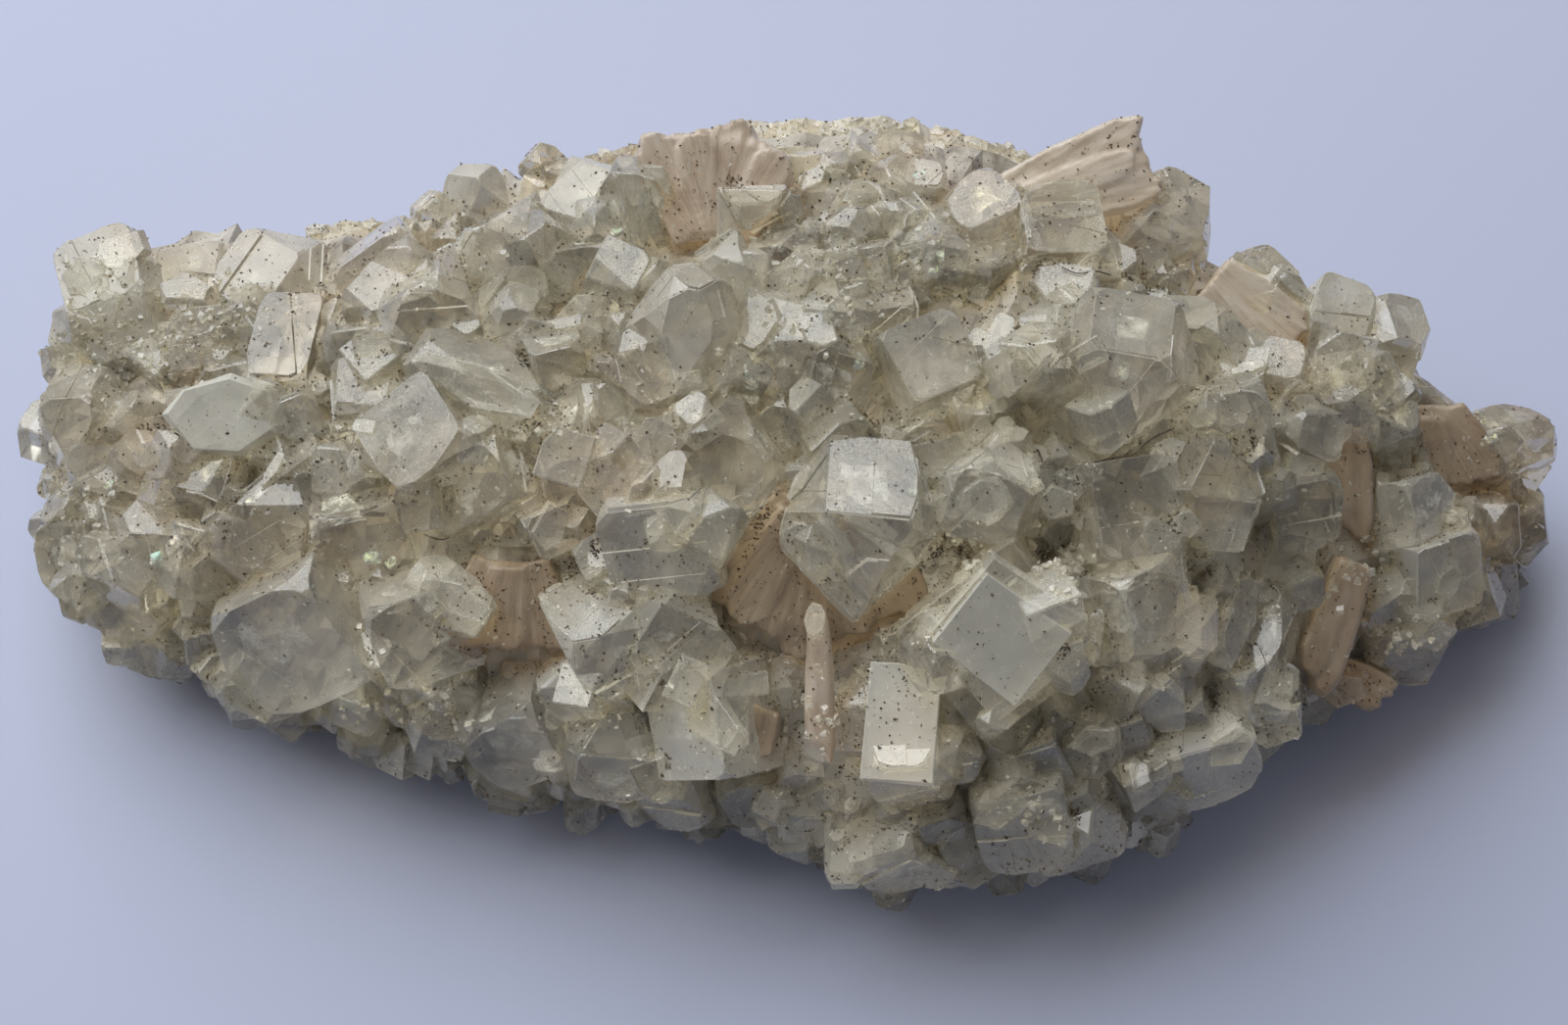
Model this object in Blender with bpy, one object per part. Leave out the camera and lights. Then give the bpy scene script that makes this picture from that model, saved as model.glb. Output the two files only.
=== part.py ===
"""Apophyllite with stilbite: a loose hand specimen, 14 cm long.

A broken lump of cream rock carries a crust of grown-together apophyllite crystals on its top, front and
ends, and stilbite sheaves and blades grow among them. The frame is in metres with +Z up. +X runs along the
specimen, +Y points at its broken back, and the origin is under its middle, on the surface that it lies on.
"""

import math
import random

import bmesh
import bpy
from mathutils import Matrix, Vector, noise
from mathutils.bvhtree import BVHTree

MM = 0.001

# Crystals and sheaves are placed on a drawing plane: across and up from its middle, as someone sees the
# specimen who looks down at it over its front edge.
LOOK_DOWN = math.radians(66)
EYE_DISTANCE = 330 * MM
DRAWING_MIDDLE = Vector((-1, 0, 14)) * MM
ACROSS = Vector((1, 0, 0))
UP = Vector((0, math.sin(LOOK_DOWN), math.cos(LOOK_DOWN)))
TO_EYE = ACROSS.cross(UP)
EYE = DRAWING_MIDDLE + EYE_DISTANCE * TO_EYE

GAP = 0.3 * MM  # between neighbouring solids
BED = 2.6 * MM  # how thick the crystals' common bed is
SUNK_BED = 1.5 * MM  # how deep inside the rock the bed's surface runs where the rock is bare
BED_STARTS = 1.5 * MM  # the height where the bed leaves the rock, and where it has its full thickness
BED_IS_FULL = 5.5 * MM
BED_AT_RIM = 0.5 * MM
BACK_FACING = 0.55  # a surface whose normal has more +Y than this is the broken back
ROCK_LUMPS = 1.2 * MM
LUMP_SIZE = 10.5 * MM
ON_BASE = 0.4 * MM  # a section whose underside is lower than this rests on the surface
CLEAR_OF_FLOOR = 0.9 * MM  # how high the rest of the rock stays
ROCK_SEED = 3
CRYSTAL_SEED = 5
SECTION_STEP = 7 * MM

# The rock's sections from the left end to the right: x, then y and z of the front rim, of the crest and of
# the back edge, then the height of the underside.
ROCK_SECTIONS_MM = (
    (-67.5, 1, 5.5, 9, 9, 19, 9, 3.5),
    (-63, -6, 6, 9, 14, 26, 11, 1),
    (-53, -12, 6, 8, 19, 26.5, 14, 0),
    (-41, -16, 6, 8, 23, 28, 17, 0),
    (-29, -20, 6, 8, 26.5, 29, 20, 0),
    (-15, -24, 6, 9, 28, 33.5, 23, 0),
    (-1, -26, 6.5, 11, 29.5, 34.5, 25, 0),
    (8, -31, 6.5, 11, 30, 35.4, 25, 0),
    (19, -30, 6.5, 11, 29.5, 33.5, 23, 0),
    (31, -26.5, 6, 10, 27, 30, 19, 0),
    (41, -18.5, 6, 9, 23, 23, 15, 0),
    (52, -11, 6, 8, 18, 19, 12, 0.5),
    (61, -6, 5.5, 6, 12, 12, 9, 2.5),
    (66, 1, 5.5, 5, 8, 7.5, 7, 4.5),
)
BASE_INSET = 7 * MM

# The crust's edge on the drawing plane. The rock is bare outside it.
CRUST_EDGE_MM = (
    (-66, 21), (-58, 23), (-50, 23.5), (-44, 24), (-38, 24.5), (-33, 26), (-28, 30), (-20, 30), (-13, 29.5),
    (0, 30), (10, 29.5), (20, 28.5), (30, 29), (38, 25), (48, 20), (57, 16), (66, 10), (75, 5), (75, -40),
    (-75, -40), (-75, 12),
)

# The steep pyramid faces stand this far from the crystal's long axis.
PYRAMID_LEAN = math.radians(60.4)

# Each crystal: across, up, width and length in mm, then the lean of its long axis from the line of sight,
# the clock angle that it leans to and its turn about the axis in degrees, then its end face's share (0 is a
# point, 1.4 a plain block) and how far its middle stands off the bed in mm.
LEFT_END = (
    (-62, 21.2, 7.5, 6, 25, 330, 20, 1.25, -0.5),
    (-64.6, 16, 5, 5, 50, 280, 30, 0.7, -0.5),
    (-58, 20, 5, 5, 30, 30, 40, 0.8, 0.5),
    (-61, 15.6, 5.5, 5, 35, 200, 15, 0.6, 0.5),
    (-63.8, 8.6, 8.2, 9, 50, 345, 38, 0.5, 0.5),
    (-62, 1.8, 5.2, 5, 40, 215, 25, 1.45, -0.5),
    (-63.4, -3.8, 7, 7, 35, 255, 8, 1.25, 0.5),
    (-56.4, -2.6, 8.6, 8, 30, 200, 42, 0.75, 1.5),
    (-51.6, -4, 4.6, 5, 35, 150, 20, 1.45, 1),
    (-59, -7, 7.5, 7, 40, 215, 30, 1.2, 0.5),
    (-53.4, -8, 5, 6, 35, 130, 25, 0.6, 1),
    (-52.3, -11.4, 4.4, 5, 35, 180, 0, 1.45, 0.5),
    (-57.6, -11.2, 5.4, 6, 50, 200, 20, 0.8, 0),
)
LEFT_TOP = (
    (-53.8, 20.6, 7, 6, 18, 300, 10, 1.25, 0.5),
    (-46.6, 20.6, 8.5, 8, 30, 315, 12, 0.8, 1),
    (-53.4, 15.2, 4.8, 6, 75, 175, 2, 1.45, 1),
    (-49, 16, 5, 5, 35, 220, 30, 0.7, 0),
    (-44.8, 14.6, 6, 9, 65, 190, 5, 1.25, 1),
    (-36, 21.2, 8, 8, 14, 150, 36, 1.25, 1),
    (-38.4, 15.4, 5.6, 6, 30, 210, 10, 1.45, 0.5),
    (-32, 17.8, 8.6, 9, 20, 160, 25, 0.8, 1.5),
    (-51.2, 8.6, 6, 9.5, 78, 262, 4, 0.7, 2.5),
    (-44.6, 8.6, 4.6, 5, 15, 140, 22, 1.45, 1.5),
    (-52, 2.4, 7.5, 8, 25, 345, 30, 0.6, 1),
    (-38.7, 5.4, 4.6, 7, 55, 170, 42, 0.6, 1.5),
    (-38.5, 10.2, 6, 6, 30, 20, 5, 1.2, 0.5),
    (-32.2, 6.4, 8.5, 9, 25, 300, 36, 1.25, 1.5),
    (-45.8, -1, 8.5, 9, 18, 200, 40, 0.7, 1.5),
    (-38, -1.5, 8, 7, 35, 175, 15, 1.2, 1),
    (-28.2, 11.8, 5.4, 12, 82, 118, 8, 0.8, 2.5),
    (-27, 2.4, 6.5, 9, 60, 60, 20, 1.2, 1),
)
MIDDLE_BACK = (
    (-31.4, 26.4, 4, 6, 65, 325, 10, 0.7, 0),
    (-28, 28.2, 5, 7.5, 60, 350, 20, 0.6, 0),
    (-30, 24.4, 4.8, 5, 30, 190, 40, 0.8, 1.5),
    (-22.2, 28.6, 4.6, 6.5, 55, 5, 2, 1.45, 1),
    (-24.8, 23.6, 7.5, 8, 20, 215, 28, 0.7, 2),
    (-17.4, 27.4, 7.5, 9, 30, 325, 20, 0.7, 1),
    (-13, 26.4, 5.8, 11.5, 62, 0, 38, 0.75, 1.5),
    (-17.6, 22, 7, 6, 22, 185, 8, 1.25, 0.5),
    (-25, 17.8, 4.5, 6, 40, 30, 30, 0.6, 1),
    (-21, 13.8, 5, 5, 30, 150, 12, 1.45, 0.5),
    (-15.3, 18.2, 4.6, 6, 55, 185, 42, 0.3, 1.5),
    (-8.8, 17, 8.4, 11, 50, 10, 36, 0.45, 2.5),
    (-5, 22.2, 5, 5, 25, 200, 35, 0.7, 1.5),
    (-2.8, 28, 6, 6, 35, 0, 28, 1.2, 1),
    (0.2, 22.6, 5.5, 6, 20, 160, 20, 0.8, 1),
    (5.8, 25.4, 4.4, 6, 60, 60, 42, 0.5, 1),
    (9.6, 26.2, 4.8, 6, 45, 20, 10, 0.4, 0.5),
    (13, 29.4, 4.4, 5, 40, 355, 30, 0.8, 0),
    (7.8, 21.8, 5.4, 6, 25, 230, 10, 1.45, 1),
    (13.6, 23.4, 5.5, 7, 30, 130, 35, 0.6, 2),
    (18.6, 26.6, 6, 7, 30, 340, 40, 1.2, 1),
    (24.6, 25, 7.5, 8, 28, 25, 5, 1.25, 1),
    (28.4, 22.8, 4.4, 6, 50, 170, 40, 0.6, 1.5),
    (34.2, 26, 7.6, 9.5, 40, 40, 20, 0.75, 1.5),
)
MIDDLE = (
    (-1.6, 17, 6, 6, 25, 300, 12, 0.75, 1),
    (3.6, 18, 5.4, 6, 25, 180, 38, 0.7, 1.5),
    (8.8, 17.2, 5.6, 6, 30, 160, 5, 1.45, 1),
    (4.8, 12.6, 7, 7, 20, 170, 30, 0.7, 1.5),
    (-1.8, 12.2, 5, 6, 35, 195, 15, 0.7, 1),
    (12.8, 13, 7.5, 8, 22, 25, 25, 1.25, 1.5),
    (-5.6, 5, 9.5, 9, 20, 190, 32, 0.8, 1.5),
    (-7.8, 8.4, 4.5, 6, 50, 300, 15, 0.7, 1.5),
    (-12.8, 10.4, 6.4, 8, 35, 20, 30, 1.2, 1),
    (-18.4, 8, 4.6, 8.5, 60, 185, 40, 0.7, 1.5),
    (-13.4, 4.4, 5, 5, 20, 340, 22, 1.45, 1.5),
    (-18.8, 2.8, 6.5, 6, 25, 150, 10, 1.2, 0.5),
    (-10.6, -1.8, 9.5, 9, 30, 205, 10, 1.2, 2),
    (-9.9, 0, 5, 6, 28, 60, 2, 1.4, 3.8),
    (-21.4, -1.2, 4.2, 5, 20, 130, 25, 1.45, 1.5),
    (-16.7, -4.2, 3.4, 4, 15, 320, 30, 1.45, 2),
    (-10, -10, 7.4, 8, 25, 170, 15, 0.75, 1.5),
    (-16.6, -10.8, 7.5, 9, 45, 150, 25, 1.2, 1.5),
    (3.6, 7, 5.4, 6, 30, 45, 20, 0.8, 0.5),
    (7.6, 0, 11, 12, 32, 8, 40, 0.75, 2),
    (4.4, -2.2, 5.8, 7, 40, 225, 12, 1.2, 1),
    (12.4, 6.6, 4.8, 5, 25, 150, 30, 1.45, 1),
    (17.6, 9, 5, 5, 35, 0, 35, 0.8, 0.5),
    (18.6, 1.8, 8.6, 9, 20, 195, 28, 0.75, 1.5),
    (20.6, 4.6, 2.8, 5.5, 80, 128, 10, 1.45, 3.4),
)
RIGHT_TOP = (
    (30.4, 13.2, 12, 12, 38, 8, 34, 0.6, 2.5),
    (24.6, 11.2, 8, 8, 30, 200, 20, 1.2, 1.5),
    (21.5, 13.2, 5.2, 5, 22, 315, 42, 1.4, 3.2),
    (43.4, 20.4, 4.8, 6, 50, 20, 30, 1.45, 0),
    (50.2, 17.4, 6.8, 7, 25, 20, 25, 0.8, 1),
    (55.2, 16.2, 5.2, 6, 50, 50, 2, 1.45, 0.5),
    (53.4, 12, 3.2, 5.5, 75, 120, 5, 1.45, 2),
    (50.8, 10.2, 5.6, 7, 40, 170, 8, 1.45, 1),
    (45.4, 13, 4.8, 5, 25, 350, 30, 0.8, 1),
    (40.4, 8.6, 6.4, 6.5, 18, 150, 12, 1.25, 2.8),
    (38.6, 2.8, 9.2, 11, 45, 175, 38, 0.7, 2),
    (47.6, 7, 5.4, 6, 25, 80, 30, 0.8, 1.5),
    (46.6, 0.6, 6.6, 7, 25, 140, 8, 1.2, 0.5),
    (30.4, 0.4, 8.6, 8, 22, 90, 8, 1.25, 1.5),
    (29.6, 7.4, 4.6, 5, 35, 170, 30, 0.8, 1),
    (25, 0.8, 3.4, 4, 15, 100, 15, 1.45, 1.5),
)
RIGHT_END = (
    (55.2, 7.6, 5, 6, 40, 30, 15, 0.8, 0.5),
    (57, 0, 6.4, 7, 45, 260, 10, 1.25, 0.5),
    (66.4, 6.6, 5.6, 9, 72, 92, 30, 0.55, -0.5),
    (59, -4.8, 7.6, 7, 30, 130, 12, 1.25, 0.5),
    (62.4, -8, 4.6, 5, 50, 110, 30, 0.8, -0.5),
    (56.6, -11.4, 7.2, 7, 40, 160, 30, 0.8, 0),
)
RIGHT_FRONT = (
    (20, -10.6, 13, 9, 14, 200, 39, 1.3, 1),
    (20, -11, 9.4, 9, 14, 200, 39, 1.4, 2),
    (28.2, -10.2, 3.4, 7.5, 70, 190, 15, 1.45, 1),
    (32, -8.4, 7.6, 8, 35, 100, 20, 1.2, 1),
    (36.6, -11.4, 4.8, 6, 45, 190, 30, 0.7, 0.5),
    (40.4, -10.2, 3.8, 9, 72, 197, 40, 0.8, 1.2),
    (44, -11.8, 4.4, 9.5, 72, 200, 5, 0.8, 1.2),
    (33.6, -16.6, 5.2, 5, 35, 170, 3, 1.45, 0.5),
    (42, -16.6, 3.4, 6, 70, 110, 40, 1.45, 0),
    (38, -21, 8.6, 8, 50, 165, 15, 1.25, 0),
    (28, -20.6, 5.4, 6, 30, 190, 10, 0.8, 1),
    (32.4, -23.6, 4.4, 5, 45, 140, 30, 1.45, 1),
    (23.4, -21.6, 4.8, 6, 40, 180, 25, 1.45, 0),
    (21.8, -27.2, 8.4, 7, 40, 185, 12, 1.25, 1),
    (28.8, -27.4, 5.2, 7, 50, 160, 25, 0.7, 0),
)
LEFT_FRONT = (
    (-43.4, -9.8, 12, 12, 35, 205, 30, 1.2, 1.2),
    (-33, -9.4, 9, 9, 30, 160, 18, 1.2, 1),
    (-30.2, -7.6, 3.6, 8, 80, 125, 10, 0.9, 3.6),
    (-48.4, -14.2, 6.6, 7, 55, 195, 15, 1.25, 0),
    (-38.4, -16, 6, 7, 50, 215, 38, 0.7, 0.5),
    (-33, -14.2, 4.4, 5, 45, 20, 20, 0.7, 1.2),
    (-31.2, -18.2, 6.2, 7, 45, 175, 30, 0.75, 1),
    (-24, -19.2, 8.4, 8, 45, 185, 30, 1.25, 0.2),
    (-20, -15.6, 5, 6, 35, 190, 35, 0.8, 0.5),
    (-15.6, -16, 3.6, 5, 40, 180, 10, 1.45, 1.5),
    (-15.2, -20.6, 8.4, 9, 48, 182, 38, 0.8, 1),
    (-6.4, -18.6, 9.4, 9, 40, 260, 6, 1.25, 1.8),
    (-9.4, -24.6, 6, 7, 55, 195, 20, 1.2, 0),
    (-2.6, -25, 5.4, 5, 45, 180, 20, 1.45, 0.5),
    (1.4, -26.8, 5, 6, 45, 170, 35, 0.7, 0.5),
    (5, -29.6, 2.6, 9, 75, 178, 2, 1.45, 2),
    (10.8, -20.6, 6.4, 9.5, 58, 178, 4, 1.2, 1.5),
    (15.6, -21.4, 5, 6, 40, 170, 25, 0.8, 0.5),
    (13.8, -27, 5, 6, 55, 160, 15, 1.45, 0),
    (10, -30, 7, 7, 60, 178, 30, 1.2, 0),
)
CRYSTALS = LEFT_END + LEFT_TOP + MIDDLE_BACK + MIDDLE + RIGHT_TOP + RIGHT_END + RIGHT_FRONT + LEFT_FRONT
FACE_WANDER = 0.07  # how unevenly a crystal's faces have grown, as a share of its size

# Each sheaf: the root across and up in mm and its height off the bed, then the first and last clock angle
# and the number of its blades, then a blade's length, width, thickness and lean from the drawing plane.
SHEAVES = {
    "stilbite_top_sheaf": (-6.4, 25.6, 0, -20, 25, 4, 10.6, 4.6, 4.2, 0),
    "stilbite_back_blades": (20.6, 28.4, 1.2, 66, 78, 3, 14, 3.2, 3.4, 4),
    "stilbite_striated_blade": (38.6, 20.6, 0, 128, 138, 2, 10, 6, 4, 0),
    "stilbite_right_column": (51.6, 8.2, 0, 178, 182, 2, 11, 3.2, 3.4, 0),
    "stilbite_leaning_bar": (52.2, -4.6, 1.2, 199, 200, 2, 12.6, 3.2, 3, 0),
    "stilbite_right_patch": (59.5, 8.6, -0.5, 150, 215, 3, 8, 4, 3.4, 0),
    "stilbite_hollow_sheaf": (2.4, -0.6, 0.4, 142, 230, 5, 12.5, 5.2, 3.4, -6),
    "stilbite_front_rod": (3.2, -9.2, 2.4, 178, 181, 2, 13.6, 1.7, 2.2, 0),
    "stilbite_left_patch": (-25, -5, 0.3, 165, 200, 3, 8.6, 4.4, 3, 0),
    "stilbite_front_chip": (-1.6, -18, 1.5, 196, 214, 2, 4.6, 2.4, 3, 0),
    "stilbite_rim_blade": (51, -14.4, 0, 118, 128, 2, 5.6, 2.4, 2.4, 0),
}

BLADE_STEP = 0.4 * MM  # how far one blade stands above or below the next, so that no two faces coincide

COLOURS = {
    "matrix": (0.72, 0.67, 0.56),
    "apophyllite": (0.62, 0.60, 0.52),
    "stilbite": (0.72, 0.54, 0.43),
}


def drawn(across_mm, up_mm):
    """A point of the drawing plane."""
    return DRAWING_MIDDLE + across_mm * MM * ACROSS + up_mm * MM * UP


def on_drawing(point):
    """Where a point appears on the drawing plane, across and up in mm."""
    line = point - EYE
    seen = EYE + line * (EYE_DISTANCE / -line.dot(TO_EYE)) - DRAWING_MIDDLE
    return seen.dot(ACROSS) / MM, seen.dot(UP) / MM


def inside(across, up, outline):
    """Whether a point lies inside a closed outline."""
    crossings = 0
    for (x0, y0), (x1, y1) in zip(outline, outline[1:] + outline[:1]):
        if (y0 > up) != (y1 > up) and across < x0 + (up - y0) * (x1 - x0) / (y1 - y0):
            crossings += 1
    return crossings % 2 == 1


def smooth_row(rows, place):
    """The row at a fractional place in a table, on a Catmull-Rom curve through its rows."""
    first = min(int(place), len(rows) - 2)
    along = place - first
    before, start, end, after = (rows[max(0, min(i, len(rows) - 1))] for i in range(first - 1, first + 3))
    weights = (
        -0.5 * along + along**2 - 0.5 * along**3,
        1 - 2.5 * along**2 + 1.5 * along**3,
        0.5 * along + 2 * along**2 - 1.5 * along**3,
        -0.5 * along**2 + 0.5 * along**3,
    )
    return [sum(w * v for w, v in zip(weights, column)) for column in zip(before, start, end, after)]


def rock_section(row):
    """The closed section at one row of the rock's table: base front, round over the crest, base back."""
    x, front, front_z, crest, crest_z, back, back_z, base_z = (value * MM for value in row)
    inset = min(BASE_INSET, 0.2 * (back - front))
    slope, rise = crest - front, crest_z - front_z
    corners = [
        (front + inset, base_z),
        (front + 0.3 * inset, base_z + 0.45 * (front_z - base_z)),
        (front, front_z),
        (front + 0.12 * slope, front_z + 0.35 * rise),
        (front + 0.38 * slope, front_z + 0.70 * rise),
        (front + 0.70 * slope, front_z + 0.92 * rise),
        (crest, crest_z),
        (0.5 * (crest + back), 0.45 * crest_z + 0.55 * back_z + 1.5 * MM),
        (back, back_z),
        (back - 0.5 * MM, 0.5 * (back_z + base_z)),
        (back - 0.6 * inset, base_z),
    ]
    return [Vector((x, y, z)) for y, z in corners]


def rock_mesh():
    """The rock as one closed bmesh."""
    noise.seed_set(ROCK_SEED)
    rock = bmesh.new()
    rings = []
    places = []
    for first, (row, following) in enumerate(zip(ROCK_SECTIONS_MM, ROCK_SECTIONS_MM[1:])):
        steps = max(1, round((following[0] - row[0]) * MM / SECTION_STEP))
        places += [first + step / steps for step in range(steps)]
    for place in places + [len(ROCK_SECTIONS_MM) - 1]:
        section = rock_section(smooth_row(ROCK_SECTIONS_MM, place))
        on_base = section[0].z < ON_BASE
        for number, point in enumerate(section):
            if on_base and number in (0, len(section) - 1):
                point.z = 0
                continue
            lump = noise.noise_vector(point / LUMP_SIZE) + 0.6 * noise.noise_vector(2.2 * point / LUMP_SIZE)
            point += ROCK_LUMPS * lump
            point.z = max(point.z, CLEAR_OF_FLOOR)
        rings.append([rock.verts.new(point) for point in section])
    for ring, following in zip(rings, rings[1:]):
        for number in range(len(ring)):
            after = (number + 1) % len(ring)
            rock.faces.new((ring[number], ring[after], following[after], following[number]))
    rock.faces.new(rings[0][::-1])
    rock.faces.new(rings[-1])
    bmesh.ops.recalc_face_normals(rock, faces=rock.faces)
    bmesh.ops.triangulate(rock, faces=[face for face in rock.faces if face.calc_area() > 0])
    rock.normal_update()
    return rock


def swollen(body, thickness):
    """A copy of a bmesh with each point moved out along its normal by thickness(point, normal)."""
    copy = body.copy()
    copy.normal_update()
    moved = [(vert, vert.normal * thickness(vert.co, vert.normal)) for vert in copy.verts]
    for vert, step in moved:
        vert.co += step
    return copy


def bed_thickness(point, outward):
    """Full on the crust, tapering under the front rim. Bare rock has none, so the bed ends inside it."""
    across, up = on_drawing(point)
    on_back = outward.y > BACK_FACING
    if on_back or not inside(across, up, CRUST_EDGE_MM):
        return -SUNK_BED
    share = min(1, max(0, (point.z - BED_STARTS) / (BED_IS_FULL - BED_STARTS)))
    return BED * share - BED_AT_RIM * (1 - share)


def seat(across, up, surface):
    """Where the line of sight through a place on the drawing plane meets a surface."""
    line = (drawn(across, up) - EYE).normalized()
    hit = surface.ray_cast(EYE, line)[0]
    if hit is None:
        near = surface.find_nearest(drawn(across, up))[0]
        hit = EYE + line * (near - EYE).dot(line)
    return hit


def pointing(lean, toward, turn):
    """The rotation that leans +Z from the line of sight to a clock angle, after a turn about +Z."""
    sight = Matrix((ACROSS, UP, TO_EYE)).transposed()
    clock = Matrix.Rotation(math.radians(-toward), 3, "Z")
    return sight @ clock @ Matrix.Rotation(math.radians(-lean), 3, "X") @ clock.inverted() @ Matrix.Rotation(
        math.radians(turn), 3, "Z"
    )


def crystal_mesh(width, length, end_share, both_ends, grown):
    """An apophyllite crystal along Z: a square prism whose corners steep pyramid faces cut."""
    half, reach = 0.5 * width, 0.5 * length
    wander = FACE_WANDER * half
    planes = []
    for quarter in range(4):
        side = Matrix.Rotation(quarter * math.pi / 2, 3, "Z") @ Vector((1, 0, 0))
        planes.append((side, half + grown.uniform(-wander, wander)))
        for up in (1, -1) if both_ends else (1,):
            corner = Matrix.Rotation((quarter + 0.5) * math.pi / 2, 3, "Z") @ Vector((1, 0, 0))
            normal = math.sin(PYRAMID_LEAN) * corner + math.cos(PYRAMID_LEAN) * Vector((0, 0, up))
            at_end = end_share * half * math.sin(PYRAMID_LEAN) + reach * math.cos(PYRAMID_LEAN)
            planes.append((normal, at_end + grown.uniform(-wander, wander)))
    planes += [(Vector((0, 0, 1)), reach), (Vector((0, 0, -1)), reach)]
    crystal = bmesh.new()
    bmesh.ops.create_cube(crystal, size=4 * max(width, length))
    for normal, distance in planes:
        parts = crystal.verts[:] + crystal.edges[:] + crystal.faces[:]
        cut = bmesh.ops.bisect_plane(
            crystal, geom=parts, plane_co=normal * distance, plane_no=normal, clear_outer=True, dist=1e-7
        )
        rim = [part for part in cut["geom_cut"] if isinstance(part, bmesh.types.BMEdge)]
        if len(rim) > 2:
            bmesh.ops.contextual_create(crystal, geom=rim)
    bmesh.ops.recalc_face_normals(crystal, faces=crystal.faces)
    return crystal


def blade_mesh(length, width, thickness):
    """A stilbite blade along +Y from its root: widest past the middle, with a bevelled tip."""
    outline = (
        (-0.34, 0), (-0.5, 0.4), (-0.5, 0.84), (-0.22, 1), (0.24, 0.97), (0.5, 0.82), (0.5, 0.4), (0.34, 0),
    )
    blade = bmesh.new()
    rim = [blade.verts.new((x * width, y * length, -0.5 * thickness)) for x, y in outline]
    face = blade.faces.new(rim)
    top = bmesh.ops.extrude_face_region(blade, geom=[face])["geom"]
    raised = [part for part in top if isinstance(part, bmesh.types.BMVert)]
    bmesh.ops.translate(blade, vec=(0, 0, thickness), verts=raised)
    for vert in raised:
        vert.co.x *= 0.8
    bmesh.ops.recalc_face_normals(blade, faces=blade.faces)
    return blade


def sheaf_mesh(row, surface, grow=0.0):
    """A sheaf's blades, spread like a fan from its root, each grown on every side."""
    across, up, height, first, last, count, length, width, thickness, lean = row
    sheaf = bmesh.new()
    root = seat(across, up, surface) + height * MM * TO_EYE
    for number in range(count):
        share = number / (count - 1)
        clock = math.radians(-(first + (last - first) * share))
        sideways = (share - 0.5) * 0.5 * width * MM * min(2, count - 1)
        long = length * (1 - 0.12 * (number % 2)) * MM
        step = BLADE_STEP * (math.sin(2.4 * number) + 0.13 * number)
        blade = blade_mesh(long + 2 * grow, width * MM + 2 * grow, thickness * MM + 2 * grow)
        spin = Matrix.Rotation(clock, 4, "Z") @ Matrix.Rotation(math.radians(lean), 4, "X")
        spin = spin @ Matrix.Translation((sideways, -grow, step))
        sight = Matrix((ACROSS, UP, TO_EYE)).transposed().to_4x4()
        blade.transform(Matrix.Translation(root) @ sight @ spin)
        add_to(sheaf, blade)
    return sheaf


def room_mesh(row, surface):
    """The convex room that a sheaf takes in the crust, with a gap around it."""
    room = sheaf_mesh(row, surface, GAP)
    hull = bmesh.ops.convex_hull(room, input=room.verts)
    inner = [part for part in hull["geom_interior"] + hull["geom_unused"] if isinstance(part, bmesh.types.BMVert)]
    bmesh.ops.delete(room, geom=list(set(inner)), context="VERTS")
    skin = {part for part in hull["geom"] if isinstance(part, bmesh.types.BMFace)}
    bmesh.ops.delete(room, geom=[face for face in room.faces if face not in skin], context="FACES_ONLY")
    bmesh.ops.delete(room, geom=[edge for edge in room.edges if not edge.link_faces], context="EDGES")
    bmesh.ops.dissolve_limit(room, angle_limit=math.radians(3), verts=room.verts, edges=room.edges)
    bmesh.ops.recalc_face_normals(room, faces=room.faces)
    return room


def add_to(whole, part):
    """Copies one bmesh into another and frees it."""
    mesh = bpy.data.meshes.new("part")
    part.to_mesh(mesh)
    part.free()
    whole.from_mesh(mesh)
    bpy.data.meshes.remove(mesh)


def made_object(name, body, helper=False):
    """An object from a bmesh. A helper is left out of the model."""
    mesh = bpy.data.meshes.new(name)
    body.to_mesh(mesh)
    made = bpy.data.objects.new(name, mesh)
    bpy.context.scene.collection.objects.link(made)
    if helper:
        made.hide_render = True
        made.display_type = "WIRE"
    return made


def boolean(target, operation, other, joins_itself=False):
    """One EXACT Boolean on an object."""
    step = target.modifiers.new(operation.title() + " " + other.name, "BOOLEAN")
    step.operation = operation
    step.object = other
    step.solver = "EXACT"
    step.use_self = joins_itself


def settled(target):
    """Applies an object's Booleans and keeps its largest surface: no loose chip and no closed pocket is left."""
    graph = bpy.context.evaluated_depsgraph_get()
    mesh = bpy.data.meshes.new_from_object(target.evaluated_get(graph))
    target.modifiers.clear()
    body = bmesh.new()
    body.from_mesh(mesh)
    unseen = set(body.faces)
    surfaces = []
    while unseen:
        surface = [unseen.pop()]
        for face in surface:
            joined = {other for edge in face.edges for other in edge.link_faces} & unseen
            unseen -= joined
            surface += joined
        surfaces.append(surface)
    largest = max(surfaces, key=lambda surface: sum(face.calc_area() for face in surface))
    spare = [face for surface in surfaces if surface is not largest for face in surface]
    bmesh.ops.delete(body, geom=spare, context="FACES")
    body.to_mesh(mesh)
    body.free()
    target.data = mesh


def coloured(target, kind, roughness, transmission=0.0):
    """Gives an object its own Principled material."""
    finish = bpy.data.materials.new(target.name)
    finish.use_nodes = True
    shader = finish.node_tree.nodes["Principled BSDF"]
    shader.inputs["Base Color"].default_value = (*COLOURS[kind], 1)
    shader.inputs["Roughness"].default_value = roughness
    shader.inputs["Metallic"].default_value = 0
    shader.inputs["Transmission Weight"].default_value = transmission
    target.data.materials.append(finish)


for old in list(bpy.data.objects):
    bpy.data.objects.remove(old)

# The rock, the room that it takes, and the bed that the crystals stand in.
rock_body = rock_mesh()
matrix = made_object("matrix", rock_body)
coloured(matrix, "matrix", 0.9)
rock_room = made_object("rock_room", swollen(rock_body, lambda point, outward: GAP), helper=True)
bed_body = swollen(rock_body, bed_thickness)
bed_surface = BVHTree.FromBMesh(bed_body)

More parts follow.
